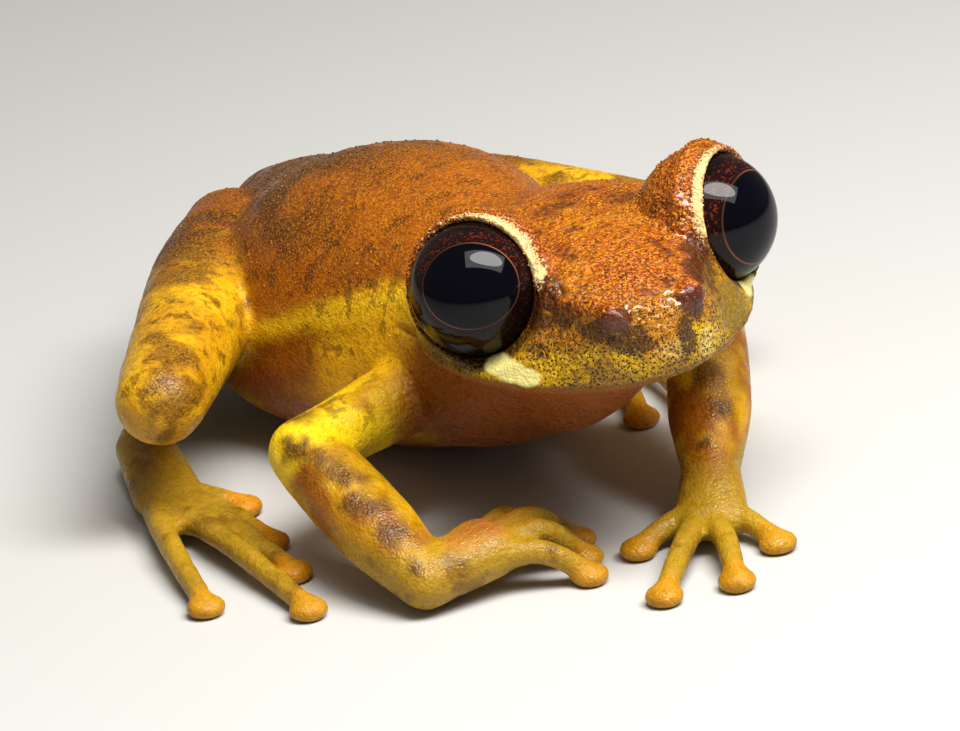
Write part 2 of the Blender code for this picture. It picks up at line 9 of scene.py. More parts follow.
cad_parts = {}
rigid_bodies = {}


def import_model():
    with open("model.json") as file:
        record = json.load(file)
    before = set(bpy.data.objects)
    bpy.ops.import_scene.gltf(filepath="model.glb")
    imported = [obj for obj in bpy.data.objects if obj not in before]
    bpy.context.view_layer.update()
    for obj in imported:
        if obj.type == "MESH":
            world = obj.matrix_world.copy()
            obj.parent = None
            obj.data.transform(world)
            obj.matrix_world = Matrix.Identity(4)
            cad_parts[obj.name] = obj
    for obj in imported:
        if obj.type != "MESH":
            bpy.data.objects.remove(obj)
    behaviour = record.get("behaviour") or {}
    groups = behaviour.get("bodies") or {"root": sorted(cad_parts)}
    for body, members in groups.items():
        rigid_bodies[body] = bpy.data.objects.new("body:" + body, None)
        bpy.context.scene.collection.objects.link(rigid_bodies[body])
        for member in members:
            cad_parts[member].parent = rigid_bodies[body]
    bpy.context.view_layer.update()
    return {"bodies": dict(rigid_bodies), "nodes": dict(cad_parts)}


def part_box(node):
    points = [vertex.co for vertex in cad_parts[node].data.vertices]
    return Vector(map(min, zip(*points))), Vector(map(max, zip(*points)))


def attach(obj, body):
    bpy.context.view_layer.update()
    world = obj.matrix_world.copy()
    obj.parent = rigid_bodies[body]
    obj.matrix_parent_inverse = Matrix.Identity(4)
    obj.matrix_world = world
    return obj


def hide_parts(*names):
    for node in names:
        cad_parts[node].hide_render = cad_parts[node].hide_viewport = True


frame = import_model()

# One skin over all the flesh solids, small granules on it, and two wet eyes.
# Shapes are made in the part's own millimetres and put in place, in metres, at
# the end of each piece.
MM = 0.001
PHOTO_WIDTH, PHOTO_HEIGHT = 960, 731

# Head: eye line as origin, x to the frog's left, -y forward, z up.
EYES_AT = (0.0, 0.0, 7.1)
HEAD_YAW, HEAD_PITCH, HEAD_ROLL = 7.7, 0.4, 3.5
EYE_RADIUS = 1.60
EYE_HALF_SPACING = 3.016
EYE_CLEARANCE = 0.012
# Points nearer the middle of the eye than this don't belong to the lids.
DEEP_IN_EYE = 1.2
# Lids: the way the opening faces (turn outward, lift) and how far out it lies;
# then the reach and thickness of the edge, and how far off the eyeball the lid's
# skin ends.
LIDS = {-1: (47.0, 18.0, 0.17), 1: (47.0, 8.0, 0.50)}
LID_REACH, LID_THICKNESS = 1.705, 0.095
LID_WIDTH = (0.30, 0.45)
TURRET_RADIUS = 1.80
LIP_LEVEL = -1.90
LIP_HALF_WIDTHS = {-1: 4.154, 1: 3.95}
LIP_REACH = 5.221
LIP_CENTRE = -1.257
LIP_POWER = 1.814
NAPE_REACH = 5.4
NOSTRIL_AT = (3.90, 1.00, -0.16)
NOSTRIL_OUTWARD = (0.75, -0.75, 0.45)
NOSTRIL_SWELLING, NOSTRIL_SUNK = 0.36, 0.06
TYMPANUM_AT = (-2.55, 3.22, -0.75)
TYMPANUM_RADIUS, TYMPANUM_FLATNESS = 0.62, 0.36

# Skin mesh: remesh cell, rounds of smoothing, and how many faces are kept.
CELL = 0.085
SKIN_ROUNDS, LAST_ROUNDS = 16, 3
SKIN_FACES = 192000
# How much less the face and the digits are smoothed, and the least smoothing.
FACE_FIRM, DIGITS_FIRM, LEAST_SOFT = 0.75, 0.6, 0.1
LAST_SOFT, LAST_FACE_FIRM = 0.6, 0.1
# The face is thinned less than the rest, from this share of its mask up.
FACE_FROM, FACE_THINNING = 0.3, 0.12

CROWN_PROFILES = {
    0: ((1.0, -1.90), (1.012, -1.45), (1.016, -0.90), (1.0, -0.42), (0.962, -0.06),
        (0.89, 0.17), (0.76, 0.38), (0.55, 0.60), (0.28, 0.72), (0.0, 0.75)),
    20: ((1.0, -1.90), (1.005, -1.45), (1.004, -0.95), (0.99, -0.50), (0.955, -0.12),
         (0.885, 0.14), (0.76, 0.37), (0.55, 0.60), (0.28, 0.72), (0.0, 0.75)),
    42: ((1.0, -1.90), (0.972, -1.50), (0.93, -1.05), (0.886, -0.60), (0.845, -0.20),
         (0.79, 0.09), (0.69, 0.33), (0.52, 0.56), (0.28, 0.71), (0.0, 0.75)),
    90: ((1.0, -1.90), (0.955, -1.54), (0.895, -1.12), (0.83, -0.60), (0.765, -0.10),
         (0.69, 0.26), (0.58, 0.51), (0.42, 0.67), (0.22, 0.73), (0.0, 0.75)),
    180: ((1.0, -1.90), (1.0, -1.52), (0.98, -1.10), (0.94, -0.75), (0.87, -0.42),
          (0.76, -0.12), (0.60, 0.17), (0.42, 0.44), (0.21, 0.66), (0.0, 0.75)),
}
THROAT_PROFILE = ((0.965, -2.02), (0.88, -2.25), (0.73, -2.65), (0.61, -3.15),
                  (0.50, -3.72), (0.40, -4.25), (0.28, -4.70), (0.14, -4.97),
                  (0.0, -5.04))
THROAT_FORWARD_PULL = -1.60
THROAT_SIDE_PULL = -1.10

TORSO = (
    (0.6, -0.45, 2.20, 3.30, 6.50),
    (2.4, -0.55, 2.80, 1.80, 7.05),
    (4.6, -0.50, 3.10, 1.00, 7.30),
    (7.0, -0.35, 3.80, 0.25, 7.45),
    (9.5, -0.45, 4.40, -0.08, 7.28),
    (12.0, -0.50, 4.40, -0.05, 6.60),
    (14.3, -0.20, 3.40, 0.50, 5.65),
    (16.5, 0.05, 2.35, 1.50, 4.95),
    (18.1, 0.10, 1.45, 2.20, 4.30),
)
TORSO_WIDEST = 0.33
TORSO_ROUNDNESS = 0.94
TORSO_FRONT_CAP, TORSO_REAR_CAP = 0.80, 0.65
# How the last ring closes over the rump: its size, and how far back it lies.
RUMP_STEPS = ((0.93, 0.25), (0.76, 0.46), (0.48, 0.60))

JOINTS = {
    "right": {
        "shoulder": (-2.2, 4.7, 3.1), "elbow": (-6.65, 3.3, 2.85),
        "wrist": (-5.95, -1.20, 0.78), "hip": (-2.3, 15.8, 3.7),
        "knee": (-8.65, 6.9, 3.6), "heel": (-3.4, 16.3, 1.8),
        "ankle": (-7.6, 10.8, 0.80),
    },
    "left": {
        "shoulder": (2.3, 5.2, 3.2), "elbow": (4.35, 2.8, 3.45),
        "wrist": (2.1, -0.8, 1.15), "hip": (2.2, 15.8, 3.5),
        "knee": (6.5, 6.4, 3.9), "heel": (2.9, 16.4, 1.8),
        "ankle": (5.3, 12.6, 0.80),
    },
}
GIRTHS = {
    ("shoulder", "elbow"): ((0.0, 1.05, 0.95), (0.35, 1.0, 0.92), (0.7, 0.88, 0.85), (1.0, 0.86, 0.84)),
    ("elbow", "wrist"): ((0.0, 0.88, 0.86), (0.3, 1.02, 0.92), (0.65, 1.02, 0.90), (1.0, 0.72, 0.68)),
    ("hip", "knee"): ((0.0, 1.30, 1.20), (0.3, 1.58, 1.42), (0.65, 1.38, 1.32), (1.0, 1.12, 1.06)),
    ("knee", "heel"): ((0.0, 1.12, 1.08), (0.3, 1.22, 1.08), (0.65, 0.98, 0.90), (1.0, 0.74, 0.72)),
    ("heel", "ankle"): ((0.0, 0.74, 0.72), (0.4, 0.66, 0.62), (0.75, 0.66, 0.56), (1.0, 0.78, 0.56)),
}
WRIST, ANKLE = (0.72, 0.68), (0.78, 0.56)
DIGIT_RADII = (0.34, 0.27)
DISC_RADIUS = 0.50
DISC_THICKNESS, DISC_HEIGHT, TIP_RISE = 0.27, 0.21, 0.04
WEB_THICKNESS, WEB_HOLLOW, WEB_OVERLAP, WEB_OVERLAP_STEP = 0.42, 0.38, 0.05, 0.02

# Each hand or foot: palm end with its radii, web share, digits (base, bend, tip).
SPREADS = {
    ("hand", "right"): ((-4.20, -0.95, 1.02), 1.00, 0.70, 0.30, (
        ((-4.00, -0.35, 1.05), (-3.00, 0.15, 1.10), (-1.95, 0.50)),
        ((-3.75, -0.70, 1.10), (-2.65, -0.50, 1.20), (-1.40, -0.30)),
        ((-3.75, -1.10, 1.05), (-2.75, -1.25, 1.15), (-1.75, -1.35)),
        ((-4.00, -1.50, 0.95), (-3.15, -1.95, 0.95), (-2.20, -2.35)),
    )),
    ("hand", "left"): ((1.30, -2.15, 0.50), 0.95, 0.50, 0.32, (
        ((1.05, -1.55, 0.45), (0.40, -1.70, 0.50), (-0.60, -1.85)),
        ((0.85, -2.10, 0.45), (0.00, -3.10, 0.60), (-1.45, -4.60)),
        ((1.25, -2.40, 0.45), (0.85, -3.60, 0.60), (0.30, -5.00)),
        ((1.70, -2.10, 0.45), (1.95, -2.70, 0.50), (2.15, -3.75)),
    )),
    ("foot", "right"): ((-8.25, 8.1, 0.48), 0.92, 0.46, 0.50, (
        ((-7.95, 8.6, 0.42), (-7.45, 7.9, 0.42), (-6.75, 7.0)),
        ((-8.00, 8.2, 0.42), (-7.55, 6.5, 0.50), (-7.20, 4.6)),
        ((-8.20, 8.0, 0.42), (-7.90, 5.4, 0.60), (-7.60, 2.6)),
        ((-8.45, 7.9, 0.42), (-8.45, 4.4, 0.65), (-8.30, 0.4)),
        ((-8.75, 8.0, 0.42), (-9.55, 5.3, 0.55), (-10.15, 2.2)),
    )),
    ("foot", "left"): ((5.05, 10.2, 0.48), 0.84, 0.46, 0.50, (
        ((4.60, 10.5, 0.42), (3.95, 9.8, 0.42), (3.15, 8.9)),
        ((4.65, 10.1, 0.42), (3.80, 8.8, 0.50), (2.90, 7.1)),
        ((4.90, 9.9, 0.42), (4.25, 7.7, 0.60), (3.50, 5.2)),
        ((5.15, 9.9, 0.42), (4.95, 6.8, 0.65), (4.45, 3.4)),
        ((5.45, 10.0, 0.42), (5.75, 7.9, 0.55), (5.75, 5.7)),
    )),
}

HEAD = (
    Matrix.Translation(EYES_AT)
    @ Matrix.Rotation(math.radians(-HEAD_YAW), 4, "Z")
    @ Matrix.Rotation(math.radians(-HEAD_PITCH), 4, "X")
    @ Matrix.Rotation(math.radians(-HEAD_ROLL), 4, "Y")
)
HEAD_ARRAY = np.array(HEAD)


def eye_centre(sign):
    return Vector((sign * EYE_HALF_SPACING, 0, 0))


def facing(sign, turn, lift):
    """A direction in the head, turned outward from straight ahead and lifted."""
    turn, lift = math.radians(turn), math.radians(lift)
    return Vector((
        sign * math.sin(turn) * math.cos(lift),
        -math.cos(turn) * math.cos(lift),
        math.sin(lift),
    ))


def lid_axis(sign):
    return facing(sign, *LIDS[sign][:2])


def placing():
    """The move from the shapes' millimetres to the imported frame, found at the right eye."""
    low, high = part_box("eye_right")
    shift = (Vector(low) + Vector(high)) / 2 - (HEAD @ eye_centre(-1)) * MM
    shift.z = 0
    return Matrix.Translation(shift) @ Matrix.Scale(MM, 4)


PLACE = placing()


# Shapes as (points, faces); several are gathered and remeshed into one skin.
def smooth_rows(rows, steps):
    """The rows, with this many steps of a smooth curve between each two."""
    rows = [np.array(row, float) for row in rows]
    padded = [2 * rows[0] - rows[1], *rows, 2 * rows[-1] - rows[-2]]
    found = []
    for p0, p1, p2, p3 in zip(padded, padded[1:], padded[2:], padded[3:]):
        for step in range(steps):
            t = step / steps
            found.append(0.5 * (2 * p1 + (p2 - p0) * t + (2 * p0 - 5 * p1 + 4 * p2 - p3) * t * t
                                + (3 * p1 - p0 - 3 * p2 + p3) * t ** 3))
    found.append(rows[-1])
    return np.array(found)


def lofted(rings, start, end):
    """A closed shell over rings of equal count, with a pole point at each end."""
    count = len(rings[0])
    points = [np.asarray(start, float)[None]] + [np.asarray(r, float) for r in rings]
    points.append(np.asarray(end, float)[None])
    points = np.concatenate(points)
    last = len(points) - 1
    faces = []
    for i in range(count):
        j = (i + 1) % count
        faces.append((0, 1 + j, 1 + i))
        for level in range(len(rings) - 1):
            base = 1 + level * count
            faces.append((base + i, base + j, base + count + j, base + count + i))
        base = 1 + (len(rings) - 1) * count
        faces.append((base + i, base + j, last))
    return points, faces


CAP_ANGLES = [math.radians(degrees) for degrees in (15, 30, 45, 60, 75)]


def tube(rows, sides=28):
    """A round-ended tube; rows are x, y, z, wide radius, thin radius."""
    rows = np.asarray(rows, float)
    path = rows[:, :3]
    turn = 2 * np.pi * np.arange(sides) / sides

    def ring(i, push, shrink):
        along = path[min(i + 1, len(path) - 1)] - path[max(i - 1, 0)]
        along /= np.linalg.norm(along)
        side = np.cross(along, (0, 0, 1))
        side /= np.linalg.norm(side)
        thin = np.cross(side, along)
        reach = min(rows[i, 3:5])
        return (path[i] + along * push * reach
                + np.outer(np.cos(turn), side) * rows[i, 3] * shrink
                + np.outer(np.sin(turn), thin) * rows[i, 4] * shrink), along * reach

    last = len(rows) - 1
    rings = [ring(0, -math.sin(angle), math.cos(angle))[0] for angle in reversed(CAP_ANGLES)]
    rings.extend(ring(i, 0, 1)[0] for i in range(len(rows)))
    rings.extend(ring(last, math.sin(angle), math.cos(angle))[0] for angle in CAP_ANGLES)
    start = path[0] - ring(0, 0, 1)[1]
    end = path[-1] + ring(last, 0, 1)[1]
    return lofted(rings, start, end)


def flat_ring(radius, height, count):
    around = 2 * np.pi * np.arange(count) / count
    return np.stack([radius * np.cos(around), radius * np.sin(around), np.full(count, height)], 1)


def ball(centre, radius, scale=(1, 1, 1), turn=None, segments=40, levels=22):
    downs = [np.pi * level / levels for level in range(1, levels)]
    rings = [flat_ring(np.sin(down), np.cos(down), segments) for down in downs]
    points, faces = lofted(rings, (0, 0, 1), (0, 0, -1))
    points = points * radius * np.array(scale)
    if turn is not None:
        points = points @ np.array(turn.to_3x3()).T
    return points + np.array(centre), faces


def ring_tube(centre, axis, radius, thickness, segments=72, sides=12):
    """A closed ring about the axis, as one quad grid that wraps both ways."""
    turn = np.array(axis.to_track_quat("Z", "Y").to_matrix())
    points, faces = [], []
    for i in range(segments):
        a = 2 * math.pi * i / segments
        for k in range(sides):
            b = 2 * math.pi * k / sides
            out = radius + thickness * math.cos(b)
            points.append((out * math.cos(a), out * math.sin(a), thickness * math.sin(b)))
            ni, nk = (i + 1) % segments, (k + 1) % sides
            faces.append((i * sides + k, ni * sides + k, ni * sides + nk, i * sides + nk))
    return np.array(points) @ turn.T + np.array(centre), faces


def from_head(points):
    return points @ HEAD_ARRAY[:3, :3].T + HEAD_ARRAY[:3, 3]


def head_space(points):
    """Points in the head's own axes: x to the frog's left, y backward, z up."""
    return (points - HEAD_ARRAY[:3, 3]) @ HEAD_ARRAY[:3, :3]


def in_head(shell):
    points, faces = shell
    return from_head(points), faces


def signed_power(value, power):
    return math.copysign(abs(value) ** power, value)


def lip_outline(angle):
    """How far forward and how far left the lip's outline lies at an angle."""
    power = 2.0 / LIP_POWER
    reach = LIP_REACH if math.cos(angle) > 0 else NAPE_REACH
    forward = LIP_CENTRE + reach * signed_power(math.cos(angle), power)
    width = LIP_HALF_WIDTHS[1 if math.sin(angle) > 0 else -1]
    return forward, width * signed_power(math.sin(angle), power)


def crown_profile(degrees):
    """The crown's outline in one direction, blended from the two given nearest it."""
    keys = sorted(CROWN_PROFILES)
    upper = next(i for i, key in enumerate(keys) if key >= degrees - 1e-6)
    if upper == 0:
        return CROWN_PROFILES[keys[0]]
    low, high = keys[upper - 1], keys[upper]
    share = (degrees - low) / (high - low)
    share = share * share * (3 - 2 * share)
    return [(a + (c - a) * share, b + (d - b) * share)
            for (a, b), (c, d) in zip(CROWN_PROFILES[low], CROWN_PROFILES[high])]


def head_dome(columns=144):
    """The head from crown to throat, as rings round the lip's middle."""
    angles = [2 * math.pi * column / columns for column in range(columns)]
    profiles = []
    for column in range(columns):
        degrees = 360.0 * column / columns
        profiles.append(smooth_rows(crown_profile(min(degrees, 360 - degrees)), 4))
    rings = []
    for level in range(len(profiles[0]) - 2, -1, -1):
        ring = []
        for angle, profile in zip(angles, profiles):
            share, up = profile[level]
            forward, left = lip_outline(angle)
            ring.append((left * share, -(LIP_CENTRE + (forward - LIP_CENTRE) * share), up))
        rings.append(ring)
    for share, up in smooth_rows(THROAT_PROFILE, 3)[:-1]:
        ring = []
        for angle in angles:
            forward, left = lip_outline(angle)
            drawn = LIP_CENTRE + (1 - share) * THROAT_FORWARD_PULL
            ring.append((left * share + (1 - share) * THROAT_SIDE_PULL,
                         -(drawn + (forward - LIP_CENTRE) * share), up))
        rings.append(ring)
    crown = (0, -LIP_CENTRE, CROWN_PROFILES[0][-1][1])
    chin = (THROAT_SIDE_PULL, -LIP_CENTRE - THROAT_FORWARD_PULL, THROAT_PROFILE[-1][1])
    return lofted(rings, crown, chin)


def torso(sides=72):
    """The body from the shoulders to the rump."""
    rings = []
    for y, x, half, low, high in smooth_rows(TORSO, 8):
        middle = low + TORSO_WIDEST * (high - low)
        ring = []
        for k in range(sides):
            angle = 2 * math.pi * k / sides
            side, rise = math.sin(angle), math.cos(angle)
            depth = high - middle if rise > 0 else middle - low
            ring.append((x + half * signed_power(side, TORSO_ROUNDNESS), y,
                         middle + depth * signed_power(rise, TORSO_ROUNDNESS)))
        rings.append(ring)
    y, x, _, low, high = TORSO[0]
    start = (x, y - TORSO_FRONT_CAP, (low + high) / 2)
    y, x, _, low, high = TORSO[-1]
    rump = np.array((x, y, (low + high) / 2))
    last = np.array(rings[-1]) - rump
    for share, back in RUMP_STEPS:
        rings.append(rump + (0, back, 0) + last * (share, 0, share))
    return lofted(rings, start, rump + (0, TORSO_REAR_CAP, 0))


def limb_rows(start, end, girths):
    start, end = Vector(start), Vector(end)
    return smooth_rows([(*start.lerp(end, share), wide, deep) for share, wide, deep in girths], 6)


def digit(base, bend, tip):
    """The finger or toe as tube rows, and the disc at its tip."""
    tip = np.array((*tip, DISC_HEIGHT + TIP_RISE))
    rows = []
    for share, point in ((0, base), (0.5, bend), (1, tip)):
        radius = DIGIT_RADII[0] + (DIGIT_RADII[1] - DIGIT_RADII[0]) * share
        rows.append((*point, radius, radius))
    rows = smooth_rows(rows, 6)
    along = Vector((tip[0] - bend[0], tip[1] - bend[1], 0)).normalized()
    turn = along.to_track_quat("Y", "Z").to_matrix()
    pad = ball((tip[0], tip[1], DISC_HEIGHT), DISC_RADIUS,
               (1.0, 0.95, DISC_THICKNESS / DISC_RADIUS), turn)
    return rows, pad


def web(left_rows, right_rows, share, overlap, steps=8, across=8):
    """The thin skin between two digits, with a hollow outer edge."""
    def on_path(rows, s):
        place = np.clip(s, 0, 1) * (len(rows) - 1)
        i = min(int(place), len(rows) - 2)
        return rows[i, :3] + (rows[i + 1, :3] - rows[i, :3]) * (place - i)

    layers = []
    for lift in (-0.5, 0.5):
        for i in range(steps + 1):
            for j in range(across + 1):
                t = j / across
                s = share * i / steps * (1 - WEB_HOLLOW * 4 * t * (1 - t))
                wider = t * (1 + 2 * overlap) - overlap
                a, b = on_path(left_rows, s), on_path(right_rows, s)
                layers.append(a + (b - a) * wider + np.array((0, 0, WEB_THICKNESS * lift)))
    row, layer = across + 1, (steps + 1) * (across + 1)
    faces = []
    for i in range(steps):
        for j in range(across):
            k = i * row + j
            faces.append((k, k + 1, k + row + 1, k + row))
            faces.append((layer + k, layer + k + row, layer + k + row + 1, layer + k + 1))
    for i in range(steps):
        for k in (i * row, i * row + across):
            faces.append((k, k + row, layer + k + row, layer + k))
    for j in range(across):
        for k in (j, steps * row + j):
            faces.append((k, k + 1, layer + k + 1, layer + k))
    return np.array(layers), faces


def flesh_shells():
    shells = [in_head(head_dome()), torso()]
    forward, left, up = NOSTRIL_AT
    for sign in (-1, 1):
        shells.append(in_head(ball(eye_centre(sign), TURRET_RADIUS, segments=64, levels=36)))
        swelling = (sign * left, NOSTRIL_SWELLING - forward, up - NOSTRIL_SUNK)
        shells.append(in_head(ball(swelling, NOSTRIL_SWELLING)))
        drum = (sign * TYMPANUM_AT[1], -TYMPANUM_AT[0], TYMPANUM_AT[2])
        shells.append(in_head(ball(drum, TYMPANUM_RADIUS, (TYMPANUM_FLATNESS, 1, 1))))
    for side in ("right", "left"):
        at = JOINTS[side]
        for (start, end), girths in GIRTHS.items():
            shells.append(tube(limb_rows(at[start], at[end], girths)))
        for kind, joint, reach in (("hand", "wrist", WRIST), ("foot", "ankle", ANKLE)):
            end, wide, deep, share, digits = SPREADS[kind, side]
            shells.append(tube(smooth_rows([(*at[joint], *reach), (*end, wide, deep)], 6)))
            paths = []
            for base, bend, tip in digits:
                rows, pad = digit(base, bend, tip)
                shells.extend((tube(rows, 20), pad))
                paths.append(rows)
            for i, (first, second) in enumerate(zip(paths, paths[1:])):
                shells.append(web(first, second, share, WEB_OVERLAP + WEB_OVERLAP_STEP * i))
    return shells


def new_object(name, data):
    obj = bpy.data.objects.new(name, data)
    bpy.context.scene.collection.objects.link(obj)
    return obj


def object_from(name, shells):
    points, faces, start = [], [], 0
    for shell_points, shell_faces in shells:
        points.append(shell_points)
        faces.extend(tuple(start + i for i in face) for face in shell_faces)
        start += len(shell_points)
    mesh = bpy.data.meshes.new(name)
    mesh.from_pydata(np.concatenate(points).tolist(), [], faces)
    mesh.update()
    return new_object(name, mesh)


def bake(obj):
    """Replaces the object's mesh by what its modifiers make of it."""
    bpy.context.view_layer.update()
    graph = bpy.context.evaluated_depsgraph_get()
    mesh = bpy.data.meshes.new_from_object(obj.evaluated_get(graph))
    obj.modifiers.clear()
    old, obj.data = obj.data, mesh
    bpy.data.meshes.remove(old)
    return obj


def remesh(obj, cell):
    modifier = obj.modifiers.new("remesh", "REMESH")
    modifier.mode = "VOXEL"
    modifier.voxel_size = cell
    return bake(obj)


def combine(obj, other, operation):
    """Joins the other shell to the object or cuts it away, and deletes it."""
    modifier = obj.modifiers.new("combine", "BOOLEAN")
    modifier.operation = operation
    modifier.solver = "MANIFOLD"
    modifier.object = other
    bake(obj)
    bpy.data.objects.remove(other, do_unlink=True)
    return obj


def vectors_of(items, field):
    flat = np.empty(len(items) * 3, np.float32)
    items.foreach_get(field, flat)
    return flat.reshape(-1, 3).astype(float)


def points_of(obj):
    return vectors_of(obj.data.vertices, "co")


def set_points(obj, points):
    obj.data.vertices.foreach_set("co", points.astype(np.float32).ravel())
    obj.data.update()


def normals_of(obj):
    return vectors_of(obj.data.vertex_normals, "vector")


def ramp(value, low, high):
    """0 below low, 1 above high, with a smooth rise between."""
    t = np.clip((value - low) / (high - low), 0, 1)
    return t * t * (3 - 2 * t)


def bell(distance, width):
    return np.exp(-(distance / width) ** 2)


def patch(points, centre, radii, soft=0.5):
    """1 inside an ellipsoid round the centre, fading to 0 past its edge."""
    far = np.linalg.norm((points - np.array(centre)) / np.array(radii), axis=1)
    return 1 - ramp(far, 1 - soft, 1 + soft)


# Numbers that scatter a cell's place and the seed into one value.
HASH_AXES = np.array((73856093, 19349663, 83492791))
HASH_SEED, HASH_STIR, HASH_LIMIT = 668265263, 1274126177, 0x7FFFFFFF
HASH_VALUES = 65536


def lattice(points, seed):
    """Random values at whole-numbered places, smoothly filled in between."""
    cell = np.floor(points).astype(np.int64)
    part = points - cell
    part = part * part * (3 - 2 * part)
    total = np.zeros(len(points))
    for corner in range(8):
        step = np.array((corner & 1, corner >> 1 & 1, corner >> 2 & 1))
        key = (cell + step) @ HASH_AXES + seed * HASH_SEED
        key = (key ^ (key >> 13)) * HASH_STIR & HASH_LIMIT
        value = (key ^ (key >> 16)) % HASH_VALUES / (HASH_VALUES - 1.0)
        total += value * np.prod(np.where(step, part, 1 - part), axis=1)
    return total


OCTAVE_SHIFT = 17.3


def cloud(points, size, seed, octaves=3):
    """Smooth noise from 0 to 1 with features of about this size."""
    total, weight = 0.0, 0.0
    for octave in range(octaves):
        finer = points / size * 2 ** octave + OCTAVE_SHIFT * octave
        total = total + lattice(finer, seed + octave) * 0.5 ** octave
        weight += 0.5 ** octave
    return total / weight


# Each noise of the skin: size of its features in mm, seed, octaves.
NOISES = {
    "crown relief": (0.34, 47, 2), "wrinkles": (0.75, 31, 3), "wet crumple": (0.22, 53, 2),
    "body drift": (1.6, 5, 3), "body edge": (0.6, 9, 3), "back patches": (1.3, 13, 3),
    "limb root": (0.8, 77, 3), "limb warmth": (1.1, 33, 3), "upper arm": (0.7, 35, 3),
    "limb bars": (1.0, 21, 3), "hand spots": (0.6, 61, 3), "head edge": (0.45, 9, 3),
    "cheek tan": (0.55, 17, 3), "crown orange": (0.8, 71, 3), "crown gold": (0.35, 41, 3),
    "crown brown": (0.30, 43, 3),
}


def noise(points, name):
    return cloud(points, *NOISES[name])


def centred(points, name):
    return noise(points, name) - 0.5


FAR_AWAY = 1e9


def distance_to_rows(points, rows):
    """Distance to a tube's surface, and the share of its length nearest each point."""
    best = np.full(len(points), FAR_AWAY)
    share = np.zeros(len(points))
    for i in range(len(rows) - 1):
        a, b = rows[i, :3], rows[i + 1, :3]
        along = b - a
        t = np.clip((points - a) @ along / (along @ along), 0, 1)
        reach = rows[i, 3] + (rows[i + 1, 3] - rows[i, 3]) * t
        far = np.linalg.norm(points - a - t[:, None] * along, axis=1) - reach
        nearer = far < best
        best[nearer] = far[nearer]
        share[nearer] = (i + t[nearer]) / (len(rows) - 1)
    return best, share


def outward_normals(obj):
    bm = bmesh.new()
    bm.from_mesh(obj.data)
    bmesh.ops.recalc_face_normals(bm, faces=bm.faces)
    bm.to_mesh(obj.data)
    bm.free()
    return obj


# The flare that opens the lids: how far past the hole's rim and how far out,
# and the two ends that close it.
LID_FLARE = ((0.0, 0.0), (0.35, 0.35), (1.3, 2.4))
LID_FLARE_ENDS = (-0.2, 2.5)


def eye_cutter(sign, sides=72):
    """The eyeball's room, and a flare that opens the lids in front of it."""
    axis, plane = lid_axis(sign), LIDS[sign][2]
    turn = np.array(axis.to_track_quat("Z", "Y").to_matrix())
    reach = EYE_RADIUS + EYE_CLEARANCE
    hole = math.sqrt(reach ** 2 - plane ** 2)
    rings = []
    for wider, up in LID_FLARE:
        ring = flat_ring(hole + wider, plane + up, sides)
        rings.append(ring @ turn.T + np.array(eye_centre(sign)))
    poles = [np.array(eye_centre(sign) + axis * (plane + end)) for end in LID_FLARE_ENDS]
    room = in_head(ball(eye_centre(sign), reach, segments=96, levels=56))
    cutter = outward_normals(object_from("cutter", [room]))
    flare = outward_normals(object_from("flare", [in_head(lofted(rings, *poles))]))
    return combine(cutter, flare, "UNION")


def lid_ring(sign):
    """The rounded edge of the lids."""
    axis, plane = lid_axis(sign), LIDS[sign][2]
    radius = math.sqrt(LID_REACH ** 2 - plane ** 2)
    return in_head(ring_tube(eye_centre(sign) + axis * plane, axis, radius, LID_THICKNESS))


WEIGHT_STEPS = 10


def smooth_by(obj, weights, rounds):
    """Smooths the mesh, each point by its weight."""
    group = obj.vertex_groups.new(name="soften")
    for level in range(1, WEIGHT_STEPS + 1):
        chosen = np.nonzero(np.round(weights * WEIGHT_STEPS).astype(int) == level)[0]
        if len(chosen):
            group.add(chosen.tolist(), level / WEIGHT_STEPS, "REPLACE")
    modifier = obj.modifiers.new("smooth", "SMOOTH")
    modifier.factor = 0.5
    modifier.iterations = rounds
    modifier.vertex_group = "soften"
    bake(obj)
    obj.vertex_groups.clear()
    return obj


# Where the face and the digits begin and end, in mm. A pair is the start and the
# end of a smooth change, and the belly's middle is x and y.
FACE_BOTTOM, FACE_BACK = (-2.6, -2.2), (2.2, 3.6)
EYE_RING, EYE_RING_FADE = 1.7, (0.3, 0.8)
DIGITS_TOP, DIGITS_BACK = (1.2, 1.9), (9.5, 10.5)
BELLY_MIDDLE, BELLY_SLOPE, BELLY_EDGE = (-0.5, 9.5), 0.55, (4.0, 5.0)


def past_belly(points):
    """0 under the body, and 1 out where only hands and feet are near the ground."""
    across = np.abs(points[:, 0] - BELLY_MIDDLE[0])
    along = np.abs(points[:, 1] - BELLY_MIDDLE[1])
    return ramp(across + along * BELLY_SLOPE, *BELLY_EDGE)


def face_masks(points):
    """How much each point belongs to the hard-edged face, and to the digits."""
    local = head_space(points)
    face = ramp(local[:, 2], *FACE_BOTTOM) * (1 - ramp(local[:, 1], *FACE_BACK))
    for sign in (-1, 1):
        far = np.linalg.norm(local - np.array(eye_centre(sign)), axis=1)
        face = np.maximum(face, 1 - ramp(np.abs(far - EYE_RING), *EYE_RING_FADE))
    low = 1 - ramp(points[:, 2], *DIGITS_TOP)
    front = 1 - ramp(points[:, 1], *DIGITS_BACK)
    return face, low * front * past_belly(points)


def seat_on_eyes(points):
    """Holds the lids just off the eyeballs."""
    local = head_space(points)
    reach = EYE_RADIUS + EYE_CLEARANCE
    for sign in (-1, 1):
        away = local - np.array(eye_centre(sign))
        far = np.linalg.norm(away, axis=1)
        near = (far < reach) & (far > DEEP_IN_EYE)
        local[near] = np.array(eye_centre(sign)) + away[near] / far[near, None] * reach
    return from_head(local)


